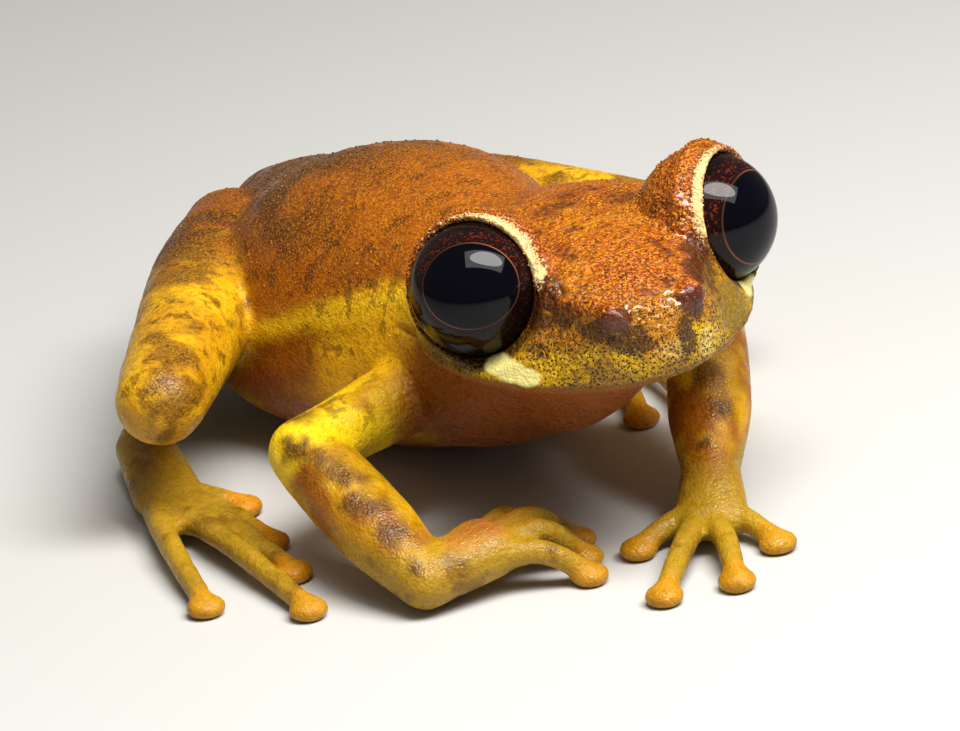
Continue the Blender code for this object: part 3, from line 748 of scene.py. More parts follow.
def along_path(points, path):
    """Distance from each point to a path of straight runs."""
    best = np.full(len(points), FAR_AWAY)
    for a, b in zip(path, path[1:]):
        run = b - a
        t = np.clip((points - a) @ run / (run @ run), 0, 1)
        best = np.minimum(best, np.linalg.norm(points - a - t[:, None] * run, axis=1))
    return best


def lid_measures(local, sign):
    """How far each point lies out from the eyeball, behind the lid's edge, and up round the eye."""
    away = local - np.array(eye_centre(sign))
    far = np.linalg.norm(away, axis=1)
    behind = LIDS[sign][2] - away @ np.array(lid_axis(sign))
    return far - EYE_RADIUS, behind, away[:, 2] / np.maximum(far, 1e-6)


# Paths of the ridge before the eye, the hollow under it and the fold over the ear.
CANTHUS = ((1.75, -1.90, 0.40), (1.35, -2.90, 0.20), (1.05, -3.50, 0.02))
LOREAL_HOLLOW = ((2.05, -2.45, -0.40), (1.45, -3.30, -0.55))
EAR_FOLD = ((4.05, 1.25, -0.25), (3.75, 2.55, -0.10), (3.55, 3.9, -0.55), (3.35, 4.7, -1.35))
# Relief in mm, each with its height and its width. The lip's two lie so far over
# the lip's level, and the eye's two so far behind the lid's edge.
FACE_FOLDS = ((CANTHUS, 0.05, 0.20), (LOREAL_HOLLOW, -0.07, 0.38), (EAR_FOLD, 0.10, 0.16))
LIP_LINES = ((-0.10, -0.13, 0.055), (0.10, 0.025, 0.07))
EYE_FOLDS = ((0.20, -0.03, 0.06), (0.48, 0.13, 0.24))
NOSTRIL_PIT, NOSTRIL_PIT_EDGE = 0.15, (0.03, 0.14)
NOSTRIL_PIT_SHIFT, NOSTRIL_PIT_OUT = (0.10, -0.02), 0.06
TYMPANUM_RELIEF, TYMPANUM_RIM, TYMPANUM_DISH = 0.06, (0.52, 0.09), (0.25, 0.42)
CROWN_RELIEF, BODY_SHARE, LIDS_CALM = 0.085, 0.3, 0.8
WRINKLES, FACE_CALM = 0.06, 0.7
WET_RISE, WET_RELIEF = 0.04, 0.34
# Where relief starts and stops, in mm: the back of the head, the outside of the
# lip, the crown, the body's upper side, the raised lids and the ear drum.
HEAD_END, LIP_OUTSIDE, CROWN_FROM, BODY_FROM = (3.4, 4.2), (2.4, 3.0), (-0.7, 0.1), 2.5
TURRET_OUT, TURRET_UP = (0.35, 0.6), (0.0, 0.35)
TYMPANUM_OUT, TYMPANUM_NEAR = 0.3, (0.5, 1.0)


def sculpt(points, normals):
    """Lip groove, nostril pits, folds, lid rims and the relief of the skin."""
    local = head_space(points)
    face = face_masks(points)[0]
    push = np.zeros(len(points))
    on_head = 1 - ramp(local[:, 1], *HEAD_END)
    outward = ramp(np.hypot(local[:, 0], np.minimum(local[:, 1], 0)), *LIP_OUTSIDE)
    for offset, height, width in LIP_LINES:
        push += height * bell(local[:, 2] - LIP_LEVEL - offset, width) * on_head * outward
    forward, left, up = NOSTRIL_AT
    lids = np.zeros(len(points))
    for sign in (-1, 1):
        aim = Vector((sign * NOSTRIL_OUTWARD[0], NOSTRIL_OUTWARD[1], NOSTRIL_OUTWARD[2])).normalized()
        pit = (sign * (left + NOSTRIL_PIT_SHIFT[0]), -forward, up + NOSTRIL_PIT_SHIFT[1])
        far = np.linalg.norm(local - (np.array(pit) + np.array(aim) * NOSTRIL_PIT_OUT), axis=1)
        push -= NOSTRIL_PIT * (1 - ramp(far, *NOSTRIL_PIT_EDGE))
        for path, height, width in FACE_FOLDS:
            push += height * bell(along_path(local, np.array(path) * (sign, 1, 1)), width)
        side = sign * (TYMPANUM_AT[1] + TYMPANUM_OUT)
        drum = np.array((side, -TYMPANUM_AT[0], TYMPANUM_AT[2]))
        flat = np.hypot(local[:, 1] - drum[1], local[:, 2] - drum[2])
        near = 1 - ramp(np.abs(local[:, 0] - drum[0]), *TYMPANUM_NEAR)
        push += near * TYMPANUM_RELIEF * bell(flat - TYMPANUM_RIM[0], TYMPANUM_RIM[1])
        push -= near * TYMPANUM_RELIEF * (1 - ramp(flat, *TYMPANUM_DISH))
        out, behind, top = lid_measures(local, sign)
        turret = (1 - ramp(out, *TURRET_OUT)) * ramp(top, *TURRET_UP)
        for offset, height, width in EYE_FOLDS:
            push += height * turret * bell(behind - offset, width)
        lids = np.maximum(lids, 1 - ramp(out, *LID_WIDTH))
    crown = ramp(local[:, 2], *CROWN_FROM) * on_head
    where = np.maximum(crown, BODY_SHARE * (points[:, 2] > BODY_FROM))
    push += CROWN_RELIEF * centred(points, "crown relief") * where * (1 - LIDS_CALM * lids)
    push += WRINKLES * centred(points, "wrinkles") * (1 - FACE_CALM * face)
    push += wet_places(local) * on_head * (WET_RISE + WET_RELIEF * centred(points, "wet crumple"))
    return points + normals * push[:, None]


def make_skin():
    """The flesh as one skin, opened at the eyes, rimmed and sculpted."""
    skin = remesh(object_from("skin", flesh_shells()), CELL)
    face, digits = face_masks(points_of(skin))
    softness = np.clip(1 - FACE_FIRM * face - DIGITS_FIRM * digits, LEAST_SOFT, 1)
    smooth_by(skin, softness, SKIN_ROUNDS)
    for sign in (-1, 1):
        combine(skin, eye_cutter(sign), "DIFFERENCE")
    rings = object_from("rings", [lid_ring(-1), lid_ring(1)])
    both = bmesh.new()
    both.from_mesh(skin.data)
    both.from_mesh(rings.data)
    both.to_mesh(skin.data)
    both.free()
    bpy.data.objects.remove(rings, do_unlink=True)
    remesh(skin, CELL)
    face = face_masks(points_of(skin))[0]
    smooth_by(skin, np.clip(LAST_SOFT - LAST_FACE_FIRM * face, LEAST_SOFT, 1), LAST_ROUNDS)
    set_points(skin, seat_on_eyes(points_of(skin)))
    points = seat_on_eyes(sculpt(points_of(skin), normals_of(skin)))
    points[:, 2] = np.maximum(points[:, 2], 0)
    set_points(skin, points)
    skin.data.calc_loop_triangles()
    group = skin.vertex_groups.new(name="thinning")
    face = face_masks(points)[0]
    for chosen, share in ((face < FACE_FROM, 1.0), (face >= FACE_FROM, FACE_THINNING)):
        group.add(np.nonzero(chosen)[0].tolist(), share, "REPLACE")
    thin = skin.modifiers.new("thin", "DECIMATE")
    thin.ratio = min(1.0, SKIN_FACES / len(skin.data.loop_triangles))
    thin.vertex_group = "thinning"
    bake(skin)
    skin.vertex_groups.clear()
    return skin


# Colours, written as the eye sees them and turned to light values.
def tint(text):
    values = [int(text[i : i + 2], 16) / 255 for i in (1, 3, 5)]
    return np.array([v / 12.92 if v <= 0.04045 else ((v + 0.055) / 1.055) ** 2.4 for v in values])


RUST = tint("#822c04")
ORANGE = tint("#9c4902")
GOLD = tint("#bc760a")
BACK_ORANGE = tint("#9a4e02")
# The back's own brown; towards the rump it is laid on more strongly as painted shade.
BACK_BROWN_AND_SHADE = tint("#421e04")
FLANK = tint("#f6bc0c")
STRIPE = tint("#ecc418")
BELLY = tint("#84400a")
THROAT = tint("#8a4a10")
CHEST = tint("#a0662a")
LIMB_YELLOW = tint("#d8a80c")
LIMB_ORANGE = tint("#9a5606")
LIMB_BROWN = tint("#4e2e04")
ARM_YELLOW = tint("#f0cc10")
HAND = tint("#94781c")
PAD = tint("#c98408")
CHEEK = tint("#cfa208")
# The far cheek's yellow-olive, darkened as painted shade for the side turned from the light.
FAR_CHEEK_IN_SHADE = tint("#786006")
SNOUT_YELLOW = tint("#b8740e")
LOREAL = tint("#96600e")
HEAD_BROWN = tint("#5a3208")
TAN = tint("#7c5a16")
PEACH = tint("#c88440")
WINE = tint("#4e140c")
LIP = tint("#784a12")
CREAM = tint("#ebe08e")
SNOUT_PALE = tint("#d6bc62")
LID_CREAM = tint("#ecd294")
# Dark brown of the head's clouds, also used as painted shade along the lower lids' edges.
DARK_CLOUD_AND_RIM_SHADE = tint("#2e1204")
OLIVE = tint("#8a7414")
# Colours of the fine patterns, and of the eyes.
DRIFT_SHADE = np.array((0.50, 0.38, 0.30))
BLOTCH_BROWN = tint("#381804")
FLECK_BROWN = tint("#461402")
FLECK_GOLD = tint("#e59c1a")
FINE_DOTS = tint("#3a1604")
BLACK_DOTS = tint("#140804")
CREAM_YELLOW = tint("#d8bc40")
LID_COPPER = tint("#c08430")
EYE_BLACK = tint("#0c0605")
IRIS_COPPER = tint("#8a3418")
IRIS_HAZE = tint("#241010")
PUPIL_RIM = tint("#96583a")
PUPIL_BLACK = tint("#03030a")


def mix(base, colour, amount):
    return base + (colour - base) * np.clip(amount, 0, 1)[:, None]


def layered(colour, *layers):
    """Lays colours over the first one, each as strongly as its mask says."""
    for over, amount in layers:
        colour = mix(colour, over, amount)
    return colour


def all_over(colour, points):
    return np.repeat(colour[None], len(points), 0)


# Dark clouds in the head's axes: centre, radii, strength.
DARK_MARKS = (
    ((-1.98, -1.78, 0.08), (0.50, 0.55, 0.36), 1.0),
    ((-2.25, -1.85, -0.35), (0.42, 0.55, 0.40), 0.85),
    ((-1.75, -2.55, -0.20), (0.50, 0.60, 0.30), 0.75),
    ((-0.76, -3.88, -0.74), (0.46, 0.45, 0.28), 1.0),
    ((-0.42, -3.95, -0.98), (0.26, 0.40, 0.20), 0.75),
    ((-1.40, -3.40, -0.42), (0.44, 0.50, 0.30), 0.8),
    ((0.66, -3.90, -1.05), (0.20, 0.45, 0.52), 1.3),
    ((1.04, -3.76, -0.42), (0.24, 0.40, 0.42), 1.0),
    ((1.88, -1.95, 0.12), (0.46, 0.60, 0.46), 1.0),
    ((1.48, -2.80, 0.04), (0.36, 0.52, 0.36), 1.2),
    ((1.95, -2.35, -0.35), (0.36, 0.55, 0.36), 0.7),
    ((2.10, -2.75, -0.75), (0.20, 0.30, 0.14), 0.6),
    ((-2.45, -2.30, -1.00), (0.30, 0.40, 0.20), 0.55),
    ((-0.39, 0.02, 0.72), (0.22, 0.24, 0.3), 0.55),
    ((0.27, -0.19, 0.71), (0.20, 0.22, 0.3), 0.55),
    ((0.86, -0.48, 0.66), (0.24, 0.22, 0.3), 0.45),
    ((0.93, -1.60, 0.53), (0.15, 0.30, 0.3), 0.60),
    ((1.11, -2.05, 0.43), (0.15, 0.26, 0.3), 0.60),
    ((0.60, -3.27, 0.15), (0.16, 0.16, 0.2), 0.60),
    ((0.04, -3.59, 0.04), (0.20, 0.14, 0.2), 0.60),
    ((1.32, 1.21, 0.71), (0.40, 0.55, 0.3), 0.50),
    ((-1.05, -0.95, 0.70), (0.30, 0.50, 0.3), 0.45),
    ((-1.25, 0.60, 0.80), (0.34, 0.55, 0.3), 0.50),
    ((-0.30, 1.60, 0.72), (0.70, 0.40, 0.3), 0.50),
    ((0.50, 2.50, 0.60), (0.75, 0.50, 0.3), 0.50),
    ((-1.40, 2.40, 0.45), (0.50, 0.60, 0.3), 0.50),
)
CREAM_MARKS = (
    ((-3.20, -1.20, -1.48), (0.40, 0.40, 0.22), 1.0),
    ((-3.06, -1.72, -1.54), (0.46, 0.46, 0.25), 1.0),
    ((-2.84, -2.14, -1.63), (0.38, 0.38, 0.22), 1.0),
    ((3.45, -0.95, -1.50), (0.50, 0.60, 0.26), 0.8),
)
# Broad tones of the crown: centre, radii, strength.
GOLD_PLACES = (
    ((0.20, -0.15, 0.72), (0.85, 0.60, 0.5), 0.7),
    ((-0.25, 0.75, 0.75), (0.60, 0.55, 0.5), 0.6),
    ((-1.05, -1.75, 0.45), (0.35, 0.45, 0.3), 0.6),
    ((1.10, 0.55, 0.80), (0.40, 0.35, 0.4), 0.5),
)
BROWN_PLACES = (
    ((1.38, 1.25, 0.71), (0.55, 0.60, 0.4), 0.8),
    ((0.12, 1.70, 0.72), (0.45, 0.40, 0.4), 0.8),
    ((-0.75, 1.30, 0.75), (0.35, 0.40, 0.4), 0.6),
    ((1.50, -0.10, 1.05), (0.25, 0.40, 0.4), 0.6),
    ((-1.15, -2.70, 0.16), (0.45, 0.40, 0.2), 0.7),
)
RUST_PLACES = (
    ((0.05, -2.50, 0.42), (0.80, 0.75, 0.4), 0.8),
    ((-1.25, -0.75, 0.80), (0.40, 0.70, 0.4), 0.7),
)
# The soft pale places on the far side of the lip and under the snout.
PALE_MARKS = (
    ((1.20, -3.66, -1.42), (0.26, 0.42, 0.34), 0.85),
    ((0.18, -4.00, -1.16), (0.40, 0.42, 0.26), 0.45),
)
# Single places of the head: centre, radii. The snout's yellows add a strength.
FAR_CHEEK_AT = ((2.5, -2.5, -1.1), (0.9, 1.3, 0.9))
FAR_LOREAL_AT = ((2.4, -2.6, -0.9), (0.8, 1.2, 0.8))
FAR_DOTS_AT = ((2.5, -2.5, -1.0), (0.8, 1.2, 0.8))
EYE_CORNER_AT = ((-1.55, -2.10, 0.25), (0.30, 0.5, 0.25))
WINE_AT, WINE_RADII = (0.98, -3.80, -0.20), (0.40, 0.45, 0.27)
SNOUT_YELLOWS = (
    ((-0.02, -4.0, -0.75), (0.60, 0.5, 0.62), 0.85),
    ((0.35, -3.75, -0.10), (0.35, 0.4, 0.30), 0.5),
)
# Where water lies on the skin.
WET_MARKS = (
    ((-1.72, -1.72, 0.36), (0.34, 0.34, 0.28), 1.0),
    ((-1.50, -2.10, 0.20), (0.32, 0.32, 0.28), 1.0),
    ((-0.60, -3.80, -0.16), (0.34, 0.34, 0.24), 1.0),
    ((0.56, -3.72, -0.10), (0.34, 0.36, 0.34), 1.0),
    ((1.80, -1.20, 0.85), (0.40, 0.46, 0.66), 1.0),
    ((1.66, -1.42, 0.48), (0.34, 0.36, 0.30), 1.0),
)
# Brown clouds on the arms, in the part's axes: centre and radius.
ARM_MARKS = (
    ((-6.95, 1.75, 3.20), 0.50), ((-6.55, 1.15, 2.95), 0.42), ((-6.75, 0.35, 2.55), 0.42),
    ((-6.20, 0.25, 2.60), 0.36), ((-6.40, -0.45, 2.10), 0.42), ((-5.95, -0.65, 2.15), 0.28),
    ((-6.25, -1.40, 1.40), 0.28), ((-7.25, 2.60, 3.30), 0.40), ((-6.55, 3.60, 3.75), 0.36),
    ((-5.60, 3.70, 3.95), 0.30), ((2.60, -0.30, 2.40), 0.36), ((2.95, 0.50, 3.00), 0.42),
    ((3.20, 1.50, 3.50), 0.38), ((1.95, -0.70, 1.80), 0.26),
)
# How wide the cream band of each lid is.
LID_BANDS = {-1: 0.30, 1: 0.16}
# How the outlines of marks are bent: size of the waves, and how far they push.
BENT_ARM, BENT_CROWN, BENT_DARK = (0.5, 0.9), (0.5, 0.8), (0.4, 0.45)
BENT_PALE, BENT_WET, BEND_SEED = (0.3, 0.2), (0.3, 0.4), 90
# The stripe's height at its start, its fall and the run of it, then the width
# of the stripe and of the shade under it.
STRIPE_HEIGHT, STRIPE_FALL, STRIPE_RUN = 5.2, 0.38, (3.0, 10.0)
STRIPE_WIDTH, SHADE_BELOW, SHADE_WIDTH = 0.26, 0.52, 0.17
# Where the head's colours give way to the neck's, and how soft the edges of the
# places on its far side are.
NECK, FAR_SOFT = (2.4, 4.6), 0.4
# Discs of the digits: the edge of their colour, how far back the duller front
# ones lie, and the strength of those.
PAD_EDGE, FRONT_PADS_END, FRONT_PAD_SHARE = (0.42, 0.75), 2.5, 0.55


def warped(points, size, amount):
    """The points pushed about by smooth noise, so that marks get uneven outlines."""
    drift = np.stack([cloud(points, size, BEND_SEED + i) - 0.5 for i in range(3)], 1)
    return points + drift * amount


def marked(points, marks, soft=0.45):
    """The strongest of the marks at each point; a mark is centre, radii, strength."""
    total = np.zeros(len(points))
    for centre, radii, strength in marks:
        total = np.maximum(total, patch(points, centre, radii, soft) * strength)
    return total


def wet_places(local):
    return marked(warped(local, *BENT_WET), WET_MARKS)


def body_colours(points):
    """Dark belly, yellow flanks, a pale stripe, and a back that browns towards the rump: its own brown,
    deepened there as painted shade.
    """
    x, y, z = points.T
    drift = centred(points, "body drift")
    over = z - (STRIPE_HEIGHT - STRIPE_FALL * (np.clip(y, *STRIPE_RUN) - STRIPE_HEIGHT))
    shoulder = 1 - ramp(y + drift * 1.5, 6.5, 9.0)
    # Browner towards the rump: partly the back's own brown, partly painted shade where that end lies in
    # shadow.
    rump_brown_and_shade = ramp(y + drift * 3, 6.0, 11.5)
    patches = np.maximum(0.45 * rump_brown_and_shade, ramp(noise(points, "back patches"), 0.30, 0.58))
    shade = bell(over + SHADE_BELOW, SHADE_WIDTH) * ramp(y, 4.5, 6.5) * (1 - ramp(y, 11, 13))
    chest = (1 - ramp(y, 3.0, 5.0)) * (1 - ramp(z, 2.2, 3.4))
    return layered(
        all_over(BELLY, points),
        (FLANK, ramp(z + drift * 1.2, 1.6, 2.6) * shoulder),
        (LIMB_ORANGE, ramp(z + drift, 2.2, 3.4) * (1 - shoulder)),
        (BACK_ORANGE, ramp(over + centred(points, "body edge") * 0.4, 0.15, 0.7)),
        (BACK_BROWN_AND_SHADE, ramp(over, 0.2, 1.0) * (0.20 + 0.80 * rump_brown_and_shade) * patches),
        (STRIPE, bell(over, STRIPE_WIDTH) * ramp(y, 3.0, 4.5) * (1 - ramp(y, 11.5, 14)) * 0.85),
        (BACK_BROWN_AND_SHADE, shade * 0.45),
        (CHEST, chest * 0.6),
        (PEACH, chest * ramp(np.abs(x), 2.4, 3.4) * 0.7),
    )


def limb_colours(points):
    """The limbs' colours, and how far each point belongs to them."""
    y, z = points[:, 1], points[:, 2]
    limb, hind, upper_arm = (np.zeros(len(points)) for _ in range(3))
    for at in JOINTS.values():
        for (start, end), girths in GIRTHS.items():
            far, share = distance_to_rows(points, limb_rows(at[start], at[end], girths))
            near = 1 - ramp(far, 0.05, 0.40)
            if start in ("shoulder", "hip"):
                near = near * ramp(share + centred(points, "limb root") * 0.3, 0.30, 0.62)
            limb = np.maximum(limb, near)
            if start in ("hip", "knee", "heel"):
                hind = np.maximum(hind, near)
            if start == "shoulder":
                fleshy = (1 - ramp(far, 0.1, 0.5)) * ramp(share, 0.2, 0.45)
                upper_arm = np.maximum(upper_arm, fleshy)
    hands = (1 - ramp(z, 1.2, 1.7)) * (1 - ramp(y, -0.8, 0.2))
    spread = np.maximum((1 - ramp(z, 1.3, 1.9)) * past_belly(points), hands)
    lower_arm = (1 - ramp(y, 2.4, 3.6)) * ramp(z, 1.0, 1.8)
    warm = ramp(noise(points, "limb warmth"), 0.40, 0.62)
    bars = ramp(noise(points, "limb bars"), 0.50, 0.60) * (1 - 0.7 * upper_arm)
    clouds = [(centre, (radius,) * 3, 1) for centre, radius in ARM_MARKS]
    colour = layered(
        all_over(LIMB_YELLOW, points),
        (LIMB_ORANGE, warm * (0.45 + 0.4 * lower_arm) + 0.25 * lower_arm),
        (ARM_YELLOW, upper_arm * ramp(noise(points, "upper arm"), 0.25, 0.45)),
        (LIMB_BROWN, bars * (0.25 + 0.5 * hind)),
        (HAND, spread * 0.75),
        (LIMB_BROWN, spread * ramp(noise(points, "hand spots"), 0.55, 0.72) * 0.6),
        (LIMB_BROWN, marked(warped(points, *BENT_ARM), clouds, 0.6) * 0.95),
    )
    return colour, np.maximum(limb, spread)


def head_colours(points, local):
    """Yellow cheeks, a brown band before the eye, and a crown of rust and gold."""
    lx, ly, lz = local.T
    ragged = centred(points, "head edge")
    up = lz + ragged * 0.45 + 0.10 * np.abs(lx)
    warmth = np.clip(0.45 + 1.2 * (noise(points, "crown orange") - 0.3), 0, 1)
    uneven = warped(local, *BENT_CROWN)
    far_loreal = patch(local, *FAR_LOREAL_AT, FAR_SOFT)
    brown = marked(uneven, BROWN_PLACES) * ramp(noise(points, "crown brown"), 0.35, 0.60)
    return layered(
        all_over(CHEEK, points),
        (TAN, ramp(noise(points, "cheek tan"), 0.50, 0.64) * 0.75),
        (TAN, (1 - ramp(up, LIP_LEVEL + 0.25, LIP_LEVEL + 0.6)) * 0.6),
        # Painted shade: the far cheek gets a darker copy of the cheek's yellow-olive.
        (FAR_CHEEK_IN_SHADE, patch(local, *FAR_CHEEK_AT, FAR_SOFT)),
        (OLIVE, ramp(ly, -1.0, 0.6) * 0.7),
        (LOREAL, ramp(up, -0.95, -0.45) * (1 - 0.75 * far_loreal)),
        (RUST, ramp(up, -0.20, 0.20)),
        (ORANGE, ramp(up, 0.10, 0.55) * warmth),
        (GOLD, marked(uneven, GOLD_PLACES) * ramp(noise(points, "crown gold"), 0.35, 0.60)),
        (RUST, marked(uneven, RUST_PLACES)),
        (HEAD_BROWN, brown),
        *((SNOUT_YELLOW, patch(local, centre, radii) * strength)
          for centre, radii, strength in SNOUT_YELLOWS),
        (GOLD, patch(local, *EYE_CORNER_AT) * 0.5),
        (BACK_ORANGE, ramp(ly, 1.5, 3.5) * ramp(lz, -1.0, -0.3)),
        (LIP, (1 - ramp(lz + ragged * 0.05, LIP_LEVEL + 0.07, LIP_LEVEL + 0.20)) * 0.85),
        (THROAT, 1 - ramp(lz, LIP_LEVEL - 0.14, LIP_LEVEL - 0.04)),
    )


def paint_eyes(local, colour):
    """Colours the rims of the eyes, with painted shade along the lower lids' edges, and gives the masks
    of lids, swellings and eye folds.
    """
    lx, ly, _ = local.T
    lid, wine, fold = (np.zeros(len(local)) for _ in range(3))
    for sign in (-1, 1):
        side, ahead, rise = WINE_AT
        wine = np.maximum(wine, patch(local, (sign * side, ahead, rise), WINE_RADII))
        out, behind, top = lid_measures(local, sign)
        close = 1 - ramp(out, *LID_WIDTH)
        inner = ramp(-0.7 * (sign * (lx - sign * EYE_HALF_SPACING) + ly), -1.0, 1.2)
        width = LID_BANDS[sign] * (0.22 + 0.78 * inner)
        band = close * (1 - ramp(behind, 0.0, width * 1.7)) * (0.42 + 0.58 * inner)
        upper = ramp(top + 0.28 * inner, 0.22, 0.60)
        lid = np.maximum(lid, band * upper)
        colour = layered(
            colour,
            # Painted shade: a dark band where the lower lid meets the eyeball, under the eye's bulge.
            (DARK_CLOUD_AND_RIM_SHADE, close * (1 - ramp(behind, 0.05, 0.16)) * (1 - upper) * 0.9),
            (RUST, close * (1 - ramp(behind, 0.45, 0.8)) * ramp(top, 0.0, 0.3) * 0.6),
        )
        here = (1 - ramp(out, 0.4, 0.6)) * ramp(top, 0.15, 0.5)
        fold = np.maximum(fold, here * ramp(behind, -0.02, 0.05) * (1 - ramp(behind, 0.7, 1.0)))
    return colour, lid, wine, fold


def disc_mask(points):
    pads = np.zeros(len(points))
    for *_, digits in SPREADS.values():
        for _, _, tip in digits:
            share = 1.0 if tip[1] > FRONT_PADS_END else FRONT_PAD_SHARE
            far = np.linalg.norm(points - np.array((*tip, DISC_HEIGHT)), axis=1)
            pads = np.maximum(pads, share * (1 - ramp(far, *PAD_EDGE)))
    return pads


def paint(skin):
    """Stores the broad colours, and the strength of each fine pattern, on the skin's points."""
    points = points_of(skin)
    local = head_space(points)
    _, ly, lz = local.T
    height = points[:, 2]
    ragged = centred(points, "head edge")
    limb_colour, limb = limb_colours(points)
    on_head = (1 - ramp(ly + ragged, *NECK)) * (1 - limb)
    sharp = (1 - ramp(ly, *NECK)) * ramp(lz, LIP_LEVEL - 0.2, LIP_LEVEL)
    on_head = np.maximum(on_head, sharp)
    off_head = 1 - on_head
    colour = mix(mix(body_colours(points), limb_colour, limb), head_colours(points, local), on_head)
    colour, lid, wine, fold = paint_eyes(local, colour)
    pale = marked(warped(local, *BENT_PALE), PALE_MARKS) * on_head
    colour = layered(colour, (SNOUT_PALE, pale), (PAD, disc_mask(points) * 0.85))

    dark = marked(warped(local, *BENT_DARK), DARK_MARKS) * on_head
    cream = marked(local, CREAM_MARKS) * on_head
    wet = wet_places(local) * on_head
    up = lz + ragged * 0.3
    bare = 1 - np.maximum(cream, lid)
    stipple = on_head * (1 - ramp(up, -0.15, 0.35)) * ramp(lz, LIP_LEVEL + 0.02, LIP_LEVEL + 0.14)
    stipple = stipple * (1 - ramp(ly, 0.2, 2.0)) * bare
    stipple = stipple * (1 - 0.7 * patch(local, *FAR_DOTS_AT, FAR_SOFT))
    gold = np.maximum(on_head * np.maximum(0.4 * ramp(up, -1.9, -1.5), ramp(up, -1.1, -0.6)),
                      off_head * (0.25 + 0.35 * ramp(height, 3, 5)))
    blotch = np.maximum(on_head * ramp(up, 0.1, 0.5) * 0.7, off_head * ramp(height, 2.0, 4.0))
    crown = on_head * ramp(up, -0.1, 0.3) * (1 - cream)
    back = off_head * (1 - limb) * ramp(height, 4.0, 5.5)
    density = np.maximum(np.maximum(0.30 * crown, fold), 0.10 * back) * (1 - 0.7 * wet)
    for name, values in (("granule_density", density), ("wetness", wet)):
        layer = skin.data.attributes.new(name, "FLOAT", "POINT")
        layer.data.foreach_set("value", values.astype(np.float32))
    none = np.zeros(len(points))
    for name, channels in (
        ("broad_colour", (*colour.T, none + 1)),
        ("patterns", (stipple, gold * bare, blotch * bare, none)),
        ("marks", (cream, dark, wine, none)),
        ("rims", (lid, on_head, none, none)),
    ):
        layer = skin.data.attributes.new(name, "FLOAT_COLOR", "POINT")
        values = np.clip(np.stack(channels, 1), 0, 1).astype(np.float32)
        layer.data.foreach_set("color", values.ravel())


def into_place(obj):
    obj.data.transform(PLACE)
    obj.data.update()
    obj.data.polygons.foreach_set("use_smooth", [True] * len(obj.data.polygons))
    return obj


# Materials. Patterns give their sizes in mm, and Object coordinates are in metres.
MM_PER_METRE = 1000.0


class Nodes:
    """Short ways to add nodes to a tree and join them."""

    def __init__(self, tree):
        self.tree = tree

    def add(self, kind, settings=(), **inputs):
        node = self.tree.nodes.new(kind)
        for name, value in dict(settings).items():
            setattr(node, name, value)
        for name, value in inputs.items():
            self.feed(node.inputs[name.replace("_", " ")], value)
        return node

    def feed(self, socket, value):
        if isinstance(value, bpy.types.NodeSocket):
            self.tree.links.new(value, socket)
        elif isinstance(value, np.ndarray):
            socket.default_value = (*value.tolist(), 1.0)
        else:
            socket.default_value = value

    def maths(self, operation, *values):
        node = self.add("ShaderNodeMath", {"operation": operation})
        for socket, value in zip(node.inputs, values):
            self.feed(socket, value)
        return node.outputs[0]

    def times(self, first, *others):
        for other in others:
            first = self.maths("MULTIPLY", first, other)
        return first

    def stored(self, name, output="Color"):
        return self.add("ShaderNodeAttribute", {"attribute_name": name}).outputs[output]

    def masks(self, name):
        """The three masks that one painted attribute holds."""
        return list(self.add("ShaderNodeSeparateColor", Color=self.stored(name)).outputs)

    def cells(self, place, size):
        """Distance from the middle of cells of this size in mm."""
        scale = MM_PER_METRE / size
        cells = self.add("ShaderNodeTexVoronoi", Vector=place, Scale=scale, Randomness=0.9)
        return cells.outputs["Distance"]

    def between(self, value, low, high, to_low=0.0, to_high=1.0):
        node = self.add("ShaderNodeMapRange", {"interpolation_type": "SMOOTHSTEP"})
        for name, item in (("Value", value), ("From Min", low), ("From Max", high),
                           ("To Min", to_low), ("To Max", to_high)):
            self.feed(node.inputs[name], item)
        return node.outputs["Result"]

    def blend(self, amount, a, b, kind="MIX"):
        node = self.add("ShaderNodeMix", {"data_type": "RGBA", "blend_type": kind})
        self.feed(node.inputs[0], amount)
        self.feed(node.inputs[6], a)
        self.feed(node.inputs[7], b)
        return node.outputs[2]


def new_group(name, outputs, **sizes):
    """A shader group that reads a place and some sizes, and puts out masks or values."""
    tree = bpy.data.node_groups.new(name, "ShaderNodeTree")
    tree.interface.new_socket("Vector", in_out="INPUT", socket_type="NodeSocketVector")
    for label, value in sizes.items():
        socket = tree.interface.new_socket(label, in_out="INPUT", socket_type="NodeSocketFloat")
        socket.default_value = value
    for label in outputs:
        tree.interface.new_socket(label, in_out="OUTPUT", socket_type="NodeSocketFloat")
    n = Nodes(tree)
    return tree, n, n.add("NodeGroupInput").outputs, n.add("NodeGroupOutput").inputs


def dots_group():
    """Round specks, scattered on the surface."""
    tree, n, given, out = new_group(
        "specks", ("Mask",), Spacing=0.1, Size=0.3, Softness=0.1, Density=0.5)
    scale = n.maths("DIVIDE", MM_PER_METRE, given["Spacing"])
    cells = n.add("ShaderNodeTexVoronoi", Vector=given["Vector"], Scale=scale, Randomness=0.9)
    edge = n.maths("ADD", given["Size"], given["Softness"])
    disc = n.between(cells.outputs["Distance"], given["Size"], edge, 1.0, 0.0)
    split = n.add("ShaderNodeSeparateColor", Color=cells.outputs["Color"])
    chosen = n.maths("LESS_THAN", split.outputs[0], given["Density"])
    n.feed(out["Mask"], n.times(disc, chosen))
    return tree


